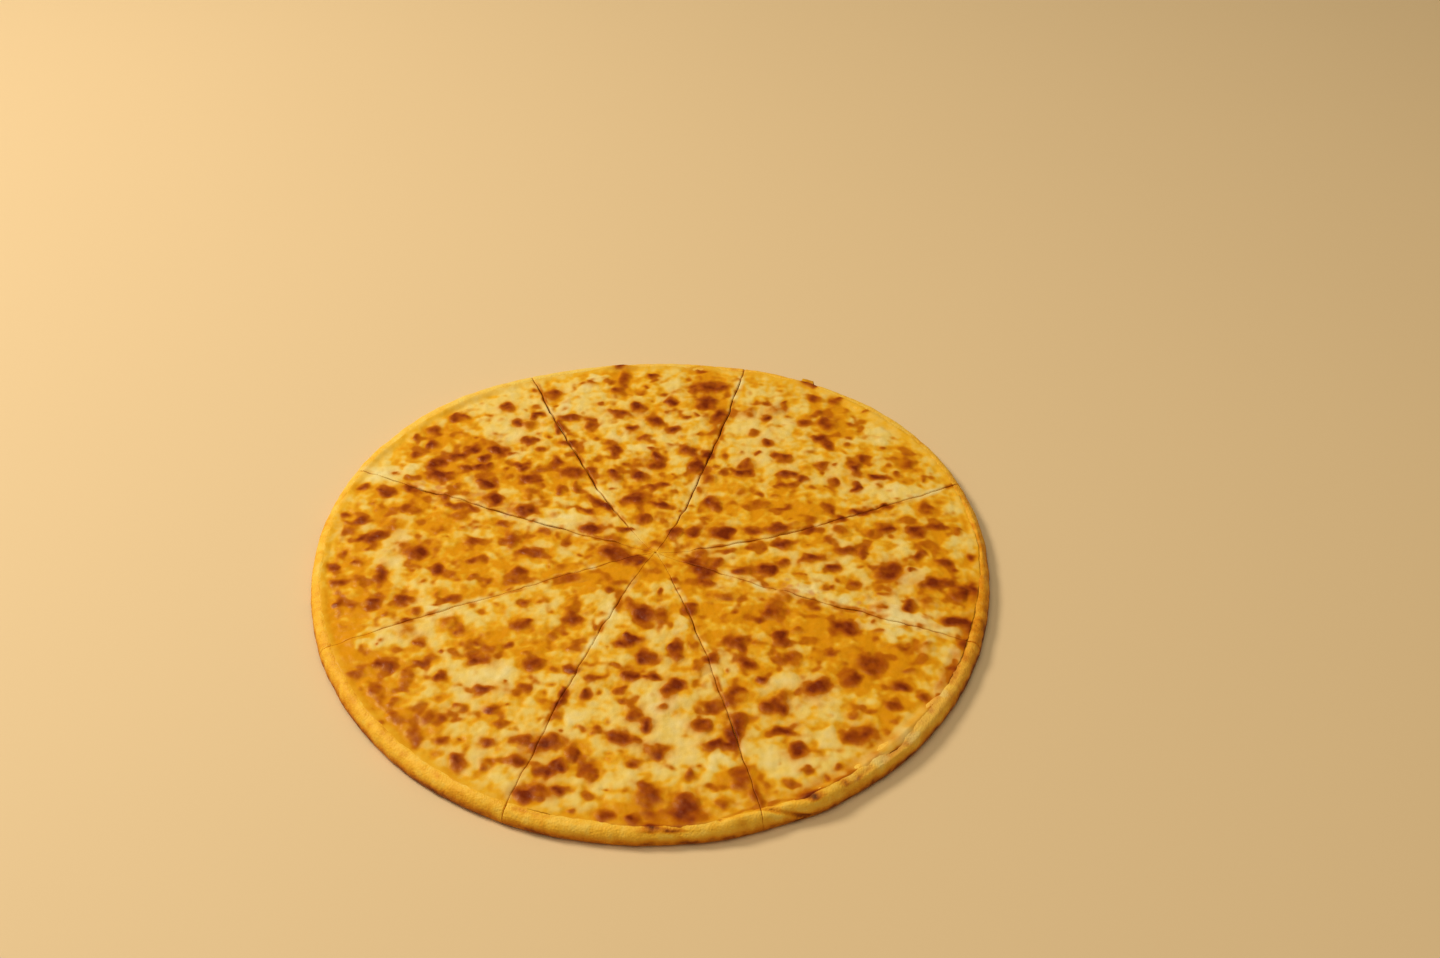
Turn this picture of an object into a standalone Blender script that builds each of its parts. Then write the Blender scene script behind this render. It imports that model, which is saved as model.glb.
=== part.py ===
# Pan pizza, cut by a wheel into eight slices that still lie together.
# Metres, +Z up. It rests on its flat underside, with the origin under the middle of its outline.
# Every slice is three solids, one on the other: the crust, the filling and the cheese.

import bpy
import bmesh
from math import cos, sin, atan, pi, exp, radians, degrees, remainder
from mathutils import Vector, noise

# Driving sizes
RADIUS = 0.150           # a 30 cm pizza
BED_HEIGHT = 0.0042      # dough under the filling
RIM_HEIGHT = 0.0076      # crest of the baked rim
RIM_WIDTH = 0.0078       # from the cheese to the outer edge
SLOPE_RUN = 0.0030       # how far the rim's inner slope reaches under the cheese
SLOPE_TOP = 0.0070       # height where that slope turns into the crest
FILLING_THICKNESS = 0.0011
CHEESE_TOP = 0.0080
CHEESE_EDGE_DROP = 0.0010    # melted cheese rounds down where the wheel cut it
LAYER_GAP = 0.0003           # between solids that touch
SLOPE_GAP = 0.0005           # between the cheese and the rim's inner slope
BASE_TUCK = 0.0018           # the side curls in to the underside
TIP_RADIUS = 0.0022          # the slices stop this far from where the cuts cross
CLOSED_GAP = 0.0005          # a cut that has closed up again
FIRST_RING = 0.0150          # from here to the tip, a slice has no points across it
SAME_POINT = 0.000001

# The outline's unevenness about the crossing of the cuts: waves round it, size, and where each peaks.
# The single wave says that the wheel crossed a little to the far side of the middle.
LOBES = (
    (1, 0.0046, 257),
    (2, 0.0013, 8),
    (3, 0.0025, 34),
    (4, 0.0011, 48),
)
OUTLINE_RIPPLE = 0.0005
RIPPLE_LENGTH = 0.034

# The wheel's cuts: direction in degrees, sideways bow, and how far the cut stands open half way out.
CUTS = (
    (19.9, -0.0068, 0.0010),
    (73.9, -0.0038, 0.0011),
    (117.8, 0.0053, 0.0011),
    (159.7, 0.0015, 0.0020),
    (204.2, -0.0020, 0.0009),
    (249.9, -0.0035, 0.0011),
    (287.9, 0.0035, 0.0011),
    (339.4, -0.0020, 0.0022),
)
BOW_POWER = 0.7          # below 1, the bow is strongest nearer the tips

# Where the rim swells: direction, half width in degrees, extra width, extra height, extra reach.
SWELLS = (
    (314.0, 12.0, 0.0042, 0.0009, 0.0004),
    (297.5, 5.0, 0.0006, 0.0014, 0.0010),
    (283.0, 5.0, 0.0004, 0.0008, 0.0006),
    (44.0, 8.0, 0.0048, 0.0004, 0.0000),
    (140.0, 16.0, 0.0032, 0.0004, 0.0003),
    (232.0, 18.0, 0.0015, 0.0003, 0.0000),
    (3.0, 10.0, -0.0016, -0.0002, 0.0000),
    (100.0, 50.0, 0.0000, 0.0007, 0.0000),
)
CREST_RIPPLE = 0.0004
CREST_RIPPLE_LENGTH = 0.019

# The rim's section from its crest down the side: how far in from the outline, as a share of the rim's
# width and in metres, then the height as a share of the crest's.
RIM_SECTION = (
    (0.55, 0.0000, 1.00),
    (0.00, 0.0023, 0.93),
    (0.00, 0.0008, 0.74),
    (0.00, 0.0001, 0.50),
    (0.00, 0.0000, 0.28),
    (0.00, 0.0006, 0.08),
)
INNER_EDGE = 0.86        # share of the rim's width where its inner slope ends and the crest begins
MIDDLE_RING = 0.55       # a row of points part of the way along the bed

# Relief of the melted cheese: size and length of its swells, then of its bubbles.
CHEESE_SWELL = (0.0007, 0.030)
CHEESE_BUBBLE = (0.0005, 0.013)

# Columns lie across a slice. The first and last are narrow, for the rounded edge of a cut. The crust
# and the cheese share them, so that their flat faces run side by side.
COLUMNS = 20
EDGE_COLUMN = 0.03
CHEESE_ROWS = 14
FILLING_COLUMNS = 8
FILLING_ROWS = 5

CRUST_COLOUR = (0.80, 0.52, 0.19, 1.0)
FILLING_COLOUR = (0.55, 0.20, 0.09, 1.0)
CHEESE_COLOUR = (0.90, 0.61, 0.17, 1.0)


def ripple(angle, length, seed):
    # Smooth unevenness along the rim, between about -1 and 1.
    x, y = RADIUS * cos(angle), RADIUS * sin(angle)
    return noise.noise(Vector((x / length, y / length, seed)))


def swell_sum(angle, part):
    # The chosen part (2 width, 3 height, 4 reach) of all the rim's swells in this direction.
    total = 0.0
    for swell in SWELLS:
        away = remainder(degrees(angle) - swell[0], 360.0) / swell[1]
        total += swell[part] * exp(-away * away)
    return total


def rim_radius(angle):
    lobes = sum(size * cos(waves * (angle - radians(peak))) for waves, size, peak in LOBES)
    return RADIUS + lobes + OUTLINE_RIPPLE * ripple(angle, RIPPLE_LENGTH, 1.5) + swell_sum(angle, 4)


def rim_width(angle):
    return RIM_WIDTH + swell_sum(angle, 2)


def rim_crest(angle):
    return RIM_HEIGHT + CREST_RIPPLE * ripple(angle, CREST_RIPPLE_LENGTH, 4.5) + swell_sum(angle, 3)


def cheese_height(x, y):
    height = CHEESE_TOP
    for seed, (size, length) in enumerate((CHEESE_SWELL, CHEESE_BUBBLE)):
        height += size * noise.noise(Vector((x / length, y / length, 7.5 + seed)))
    return height


def cut_angle(cut, radius, side):
    # Direction of one face of a cut at this radius. Side is 1 for the face that begins a slice, -1 for
    # the face that ends one.
    direction, bow, open_gap = cut
    share = min(radius / RADIUS, 1.0)
    gap = CLOSED_GAP + (open_gap - CLOSED_GAP) * sin(pi * share)
    sideways = bow * sin(pi * share ** BOW_POWER) + side * gap / 2
    return radians(direction) + atan(sideways / radius)


def slice_cuts(index):
    first = CUTS[index]
    last = CUTS[(index + 1) % len(CUTS)]
    turn = 2 * pi if last[0] < first[0] else 0.0
    return first, last, turn


def across(index, radius, share):
    # Direction of a point at this radius, share of the way across the slice.
    first, last, turn = slice_cuts(index)
    start = cut_angle(first, radius, 1)
    end = cut_angle(last, radius, -1) + turn
    return start + (end - start) * share


def spot(radius, angle, height):
    return Vector((radius * cos(angle), radius * sin(angle), height))


def crust_section(angle):
    # The crust from the tip, over the bed and the rim, down to the underside: (radius, height).
    outer = rim_radius(angle)
    width = rim_width(angle)
    crest = rim_crest(angle)
    foot = outer - width - SLOPE_RUN
    bed = [(radius, BED_HEIGHT) for radius in (TIP_RADIUS, FIRST_RING, MIDDLE_RING * foot, foot)]
    slope = [(outer - INNER_EDGE * width, SLOPE_TOP)]
    rim = [(outer - part * width - inset, height * crest) for part, inset, height in RIM_SECTION]
    base = [(outer - BASE_TUCK, 0.0)]
    return bed + slope + rim + base


def crust_point(index, share, row):
    radius = crust_section(across(index, RADIUS, share))[row][0]
    angle = across(index, radius, share)
    radius, height = crust_section(angle)[row]
    return spot(radius, angle, height)


def crust_floor(index, share, row):
    # Under a point of the crust, no further out than the foot of the side.
    point = crust_point(index, share, row)
    base = crust_point(index, share, -1)
    if point.xy.length > base.xy.length:
        return base
    return Vector((point.x, point.y, 0.0))


def filling_edge(angle):
    return rim_radius(angle) - rim_width(angle) - SLOPE_RUN - LAYER_GAP


def cheese_edge(angle):
    return rim_radius(angle) - INNER_EDGE * rim_width(angle) - SLOPE_GAP


def cheese_floor_edge(angle):
    # The rim's inner slope, at the height of the cheese's underside.
    floor = BED_HEIGHT + FILLING_THICKNESS + 2 * LAYER_GAP
    climbed = (floor - BED_HEIGHT) / (SLOPE_TOP - BED_HEIGHT)
    width = rim_width(angle)
    inset = (width + SLOPE_RUN) * (1 - climbed) + INNER_EDGE * width * climbed
    return rim_radius(angle) - inset - SLOPE_GAP


def layer_point(index, share, row, rows, edge):
    # A point of a layer's row, level with z = 0. Row 0 is the tip and the last row is the edge.
    radius = TIP_RADIUS
    if row > 0:
        outer = edge(across(index, RADIUS, share))
        radius = FIRST_RING + (outer - FIRST_RING) * (row - 1) / (rows - 1)
    return spot(radius, across(index, radius, share), 0.0)


def wedge(columns, rows, top_point, floor_point, floor_height):
    # The top of a slice is a grid, rows 1 to rows, and one face from there to the tip, row 0. Its open
    # edges are drawn down, and the underside is filled in.
    model = bmesh.new()
    bmesh.ops.create_grid(model, x_segments=columns, y_segments=rows - 1, size=0.5)
    column = model.verts.layers.int.new("column")
    row = model.verts.layers.int.new("row")
    for vert in model.verts:
        vert[column] = round((vert.co.x + 0.5) * columns)
        vert[row] = round((vert.co.y + 0.5) * (rows - 1)) + 1
    ring = sorted((vert for vert in model.verts if vert[row] == 1), key=lambda vert: vert[column])
    tip = [model.verts.new(), model.verts.new()]
    tip[0][column] = columns
    model.faces.new(ring + tip)
    for vert in model.verts:
        vert.co = top_point(vert[column], vert[row])

    open_edges = [
        edge for edge in model.edges
        if edge.is_boundary and max(end.co.z for end in edge.verts) > floor_height
    ]
    drawn = bmesh.ops.extrude_edge_only(model, edges=open_edges)["geom"]
    for vert in drawn:
        if isinstance(vert, bmesh.types.BMVert):
            vert.co = floor_point(vert[column], vert[row])
    bmesh.ops.remove_doubles(model, verts=model.verts, dist=SAME_POINT)
    underside = [edge for edge in model.edges if edge.is_boundary]
    bmesh.ops.holes_fill(model, edges=underside)
    bmesh.ops.triangulate(model, faces=model.faces)
    bmesh.ops.recalc_face_normals(model, faces=model.faces)
    return model


def column_share(column):
    # Even columns, but for a narrow one along each cut.
    if column in (0, COLUMNS):
        return column / COLUMNS
    return EDGE_COLUMN + (1 - 2 * EDGE_COLUMN) * (column - 1) / (COLUMNS - 2)


def crust_slice(index):
    return wedge(
        COLUMNS,
        len(crust_section(0.0)) - 1,
        lambda column, row: crust_point(index, column_share(column), row),
        lambda column, row: crust_floor(index, column_share(column), row),
        0.0,
    )


def filling_slice(index):
    floor = BED_HEIGHT + LAYER_GAP

    def level(column, row, height):
        point = layer_point(index, column / FILLING_COLUMNS, row, FILLING_ROWS, filling_edge)
        point.z = height
        return point

    return wedge(
        FILLING_COLUMNS,
        FILLING_ROWS,
        lambda column, row: level(column, row, floor + FILLING_THICKNESS),
        lambda column, row: level(column, row, floor),
        floor,
    )


def cheese_slice(index):
    floor = BED_HEIGHT + FILLING_THICKNESS + 2 * LAYER_GAP

    def top(column, row):
        point = layer_point(index, column_share(column), row, CHEESE_ROWS, cheese_edge)
        point.z = cheese_height(point.x, point.y)
        if column in (0, COLUMNS):
            point.z -= CHEESE_EDGE_DROP
        if row == CHEESE_ROWS:
            point.z = SLOPE_TOP
        return point

    def below(column, row):
        edge = cheese_floor_edge if row == CHEESE_ROWS else cheese_edge
        point = layer_point(index, column_share(column), row, CHEESE_ROWS, edge)
        point.z = floor
        return point

    return wedge(COLUMNS, CHEESE_ROWS, top, below, floor)


def material(name, colour, roughness):
    made = bpy.data.materials.new(name)
    made.use_nodes = True
    shader = made.node_tree.nodes["Principled BSDF"]
    shader.inputs["Base Color"].default_value = colour
    shader.inputs["Roughness"].default_value = roughness
    shader.inputs["Metallic"].default_value = 0.0
    made.diffuse_color = colour
    return made


def centre_on_origin(models):
    # Moves all the solids so that the origin is under the middle of the outline.
    points = [vert.co for model in models for vert in model.verts]
    middle_x = (min(p.x for p in points) + max(p.x for p in points)) / 2
    middle_y = (min(p.y for p in points) + max(p.y for p in points)) / 2
    for model in models:
        bmesh.ops.translate(model, verts=model.verts, vec=(-middle_x, -middle_y, 0.0))


def main():
    for old in list(bpy.data.objects):
        bpy.data.objects.remove(old, do_unlink=True)
    pizza = bpy.data.collections.new("pan_pizza")
    bpy.context.scene.collection.children.link(pizza)

    layers = (
        ("crust", crust_slice, CRUST_COLOUR, 0.75),
        ("filling", filling_slice, FILLING_COLOUR, 0.45),
        ("cheese", cheese_slice, CHEESE_COLOUR, 0.40),
    )
    models = {}
    for index in range(len(CUTS)):
        for name, make, colour, roughness in layers:
            models[f"slice_{index + 1}_{name}", colour, roughness] = make(index)
    centre_on_origin(list(models.values()))

    for (name, colour, roughness), model in models.items():
        mesh = bpy.data.meshes.new(name)
        model.to_mesh(mesh)
        model.free()
        mesh.materials.append(material(name, colour, roughness))
        pizza.objects.link(bpy.data.objects.new(name, mesh))


main()
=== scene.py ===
from math import cos, sin, pi, radians, degrees, exp, hypot, remainder

import bmesh
import bpy
import numpy as np
from mathutils import Matrix, Vector, noise


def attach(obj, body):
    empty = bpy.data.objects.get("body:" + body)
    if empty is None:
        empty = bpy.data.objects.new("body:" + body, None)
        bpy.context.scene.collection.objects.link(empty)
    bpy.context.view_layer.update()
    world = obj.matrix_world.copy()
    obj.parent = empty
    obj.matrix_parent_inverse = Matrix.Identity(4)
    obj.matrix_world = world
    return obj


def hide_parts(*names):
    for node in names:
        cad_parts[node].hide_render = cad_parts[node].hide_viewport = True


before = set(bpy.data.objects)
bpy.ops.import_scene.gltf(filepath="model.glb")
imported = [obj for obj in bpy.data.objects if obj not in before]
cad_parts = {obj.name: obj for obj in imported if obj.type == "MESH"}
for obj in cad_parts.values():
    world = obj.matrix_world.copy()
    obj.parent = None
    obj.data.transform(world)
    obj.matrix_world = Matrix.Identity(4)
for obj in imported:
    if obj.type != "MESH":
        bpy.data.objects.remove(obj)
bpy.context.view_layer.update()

# A pan pizza cut into eight slices that still lie together. Metres, +Z up.
# Every slice is a crust, a filling and a layer of melted cheese.

mm = 0.001

form = {
    "radius": 0.150,
    "crossing": (0.0014, 0.0067),    # where the cuts cross
    "bedHeight": 0.0042,
    "rimHeight": 0.0076,
    "rimWidth": 0.0078,
    "slopeRun": 0.0030,
    "slopeTop": 0.0070,
    "innerEdge": 0.86,
    "fillingFloor": 0.0045,
    "fillingTop": 0.0056,
    "cheeseFloor": 0.0059,
    "cheeseTop": 0.0080,
    "tipRadius": 0.0004,
    "closedGap": 0.0005,
    "tipNarrowing": 0.35,    # a cut is no wider than this share of its distance from the crossing
    "bowPower": 0.7,
    "wobble": 0.0007, "wobbleStart": 0.008, "wobbleRun": 0.020,
    "wobbleRipples": ((1.0, 0.0150, 45, 0.0137), (0.5, 0.0060, 46, 0.0219)),
    "outlineRipple": (0.0005, 0.034, 1.5), "crestRipple": (0.0004, 0.019, 4.5),    # size, length, seed
    "rimSection": (    # share of the width and distance in from the outline, share of the crest's height
        (0.55, 0.0, 1.0), (0.0, 0.0023, 0.93), (0.0, 0.0008, 0.74), (0.0, 0.0001, 0.50), (0.0, 0.0, 0.28),
    ),
    "lobes": ((1, 0.0046, 257), (2, 0.0013, 8), (3, 0.0025, 34), (4, 0.0011, 48)),
    "cuts": (    # direction, sideways bow, gap half way out
        (19.9, -0.0068, 0.0010), (73.9, -0.0038, 0.0011), (117.8, 0.0053, 0.0011), (159.7, 0.0015, 0.0020),
        (204.2, -0.0020, 0.0009), (249.9, -0.0035, 0.0011), (287.9, 0.0035, 0.0011), (339.4, -0.0020, 0.0022),
    ),
    "swells": (    # direction, half width, extra width, extra height, extra reach
        (314.0, 12.0, 0.0042, 0.0009, 0.0004), (297.5, 5.0, 0.0006, 0.0014, 0.0010),
        (283.0, 5.0, 0.0004, 0.0008, 0.0006), (44.0, 8.0, 0.0048, 0.0004, 0.0),
        (140.0, 16.0, 0.0032, 0.0004, 0.0003), (232.0, 18.0, 0.0015, 0.0003, 0.0),
        (3.0, 10.0, -0.0016, -0.0002, 0.0), (100.0, 50.0, 0.0, 0.0007, 0.0),
    ),
}


def smooth(value):
    held = np.clip(value, 0.0, 1.0)
    return held * held * (3 - 2 * held)


def ripples(x, y, length, seed):    # smooth unevenness, about -1 to 1
    turns = np.random.RandomState(seed).uniform(0, 2 * pi, (256, 256))
    u, v = x / length, y / length
    column, row = np.floor(u).astype(int), np.floor(v).astype(int)
    u, v = u - column, v - row

    def corner(right, up):
        turn = turns[(column + right) % 256, (row + up) % 256]
        return np.cos(turn) * (u - right) + np.sin(turn) * (v - up)

    easeU = u * u * u * (u * (u * 6 - 15) + 10)
    easeV = v * v * v * (v * (v * 6 - 15) + 10)
    low = corner(0, 0) * (1 - easeU) + corner(1, 0) * easeU
    high = corner(0, 1) * (1 - easeU) + corner(1, 1) * easeU
    return 1.5 * (low * (1 - easeV) + high * easeV)


def rippleSum(x, y, parts, start=0.0):    # each part: size, length, seed and, for some, a factor for y
    for size, length, seed, *factor in parts:
        start = start + size * ripples(x, y * factor[0] if factor else y, length, seed)
    return start


# The outline, the rim and the cuts, as the frame has them

def pullAt(angle, direction, half):    # 1 in a direction, fading to both sides; degrees
    return np.exp(-((np.mod(np.degrees(angle) - direction + 180, 360) - 180) / half) ** 2)


def swellSum(angle, part):
    total = 0.0
    for swell in form["swells"]:
        away = remainder(degrees(angle) - swell[0], 360.0) / swell[1]
        total += swell[part] * exp(-away * away)
    return total


def rimRipple(angle, size, length, seed):
    x, y = form["radius"] * cos(angle), form["radius"] * sin(angle)
    return size * noise.noise(Vector((x / length, y / length, seed)))


def outerRadius(angle):
    lobes = sum(size * cos(waves * (angle - radians(peak))) for waves, size, peak in form["lobes"])
    return form["radius"] + lobes + rimRipple(angle, *form["outlineRipple"]) + swellSum(angle, 4)


rimTurns = np.linspace(0, 2 * pi, 1441)
rimTable = {
    "outer": [outerRadius(turn) for turn in rimTurns],
    "width": [form["rimWidth"] + swellSum(turn, 2) for turn in rimTurns],
    "crest": [
        form["rimHeight"] + rimRipple(turn, *form["crestRipple"]) + swellSum(turn, 3) for turn in rimTurns
    ],
}


def alongRim(name, angle):
    return np.interp(np.mod(angle, 2 * pi), rimTurns, rimTable[name])


def gapAt(openGap, radius):    # a cut's opening at a radius
    share = np.minimum(radius / form["radius"], 1.0)
    gap = form["closedGap"] + (openGap - form["closedGap"]) * np.sin(pi * share)
    return np.minimum(gap, form["tipNarrowing"] * radius)


def cutAngle(cut, radius, side):    # side 1 begins a slice, -1 ends one
    direction, bow, openGap = cut
    share = np.minimum(radius / form["radius"], 1.0)
    sideways = bow * np.sin(pi * share ** form["bowPower"]) + side * gapAt(openGap, radius) / 2
    wobble = rippleSum(radius, direction + 0 * radius, form["wobbleRipples"])
    wobble = form["wobble"] * wobble * smooth((radius - form["wobbleStart"]) / form["wobbleRun"])
    sideways = sideways + wobble
    return radians(direction) + np.arctan(sideways / radius)


def sliceSides(index, radius):
    cuts = form["cuts"]
    first, last = cuts[index], cuts[(index + 1) % len(cuts)]
    turn = 2 * pi if last[0] < first[0] else 0.0
    return cutAngle(first, radius, 1), cutAngle(last, radius, -1) + turn


def rimControls(angle):    # the rim's section from the foot of its inner slope to the widest point
    outer, width, crest = (alongRim(name, angle) for name in ("outer", "width", "crest"))
    flat = np.ones_like(angle)
    radii = [outer - width - form["slopeRun"], outer - form["innerEdge"] * width]
    heights = [form["bedHeight"] * flat, form["slopeTop"] * flat]
    for part, inset, height in form["rimSection"]:
        radii.append(outer - part * width - inset)
        heights.append(height * crest)
    return np.array(radii), np.array(heights)


def rimHeightAt(angle, radius):    # how high the rim's top stands at a radius
    radii, heights = rimControls(angle)
    found = np.full_like(radius, form["bedHeight"])
    for step in range(len(radii) - 2):
        share = np.clip((radius - radii[step]) / (radii[step + 1] - radii[step]), 0.0, 1.0)
        found += (heights[step + 1] - heights[step]) * share
    return found


# Where the cheese has browned, run to oil or stayed pale. Model millimetres.

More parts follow.
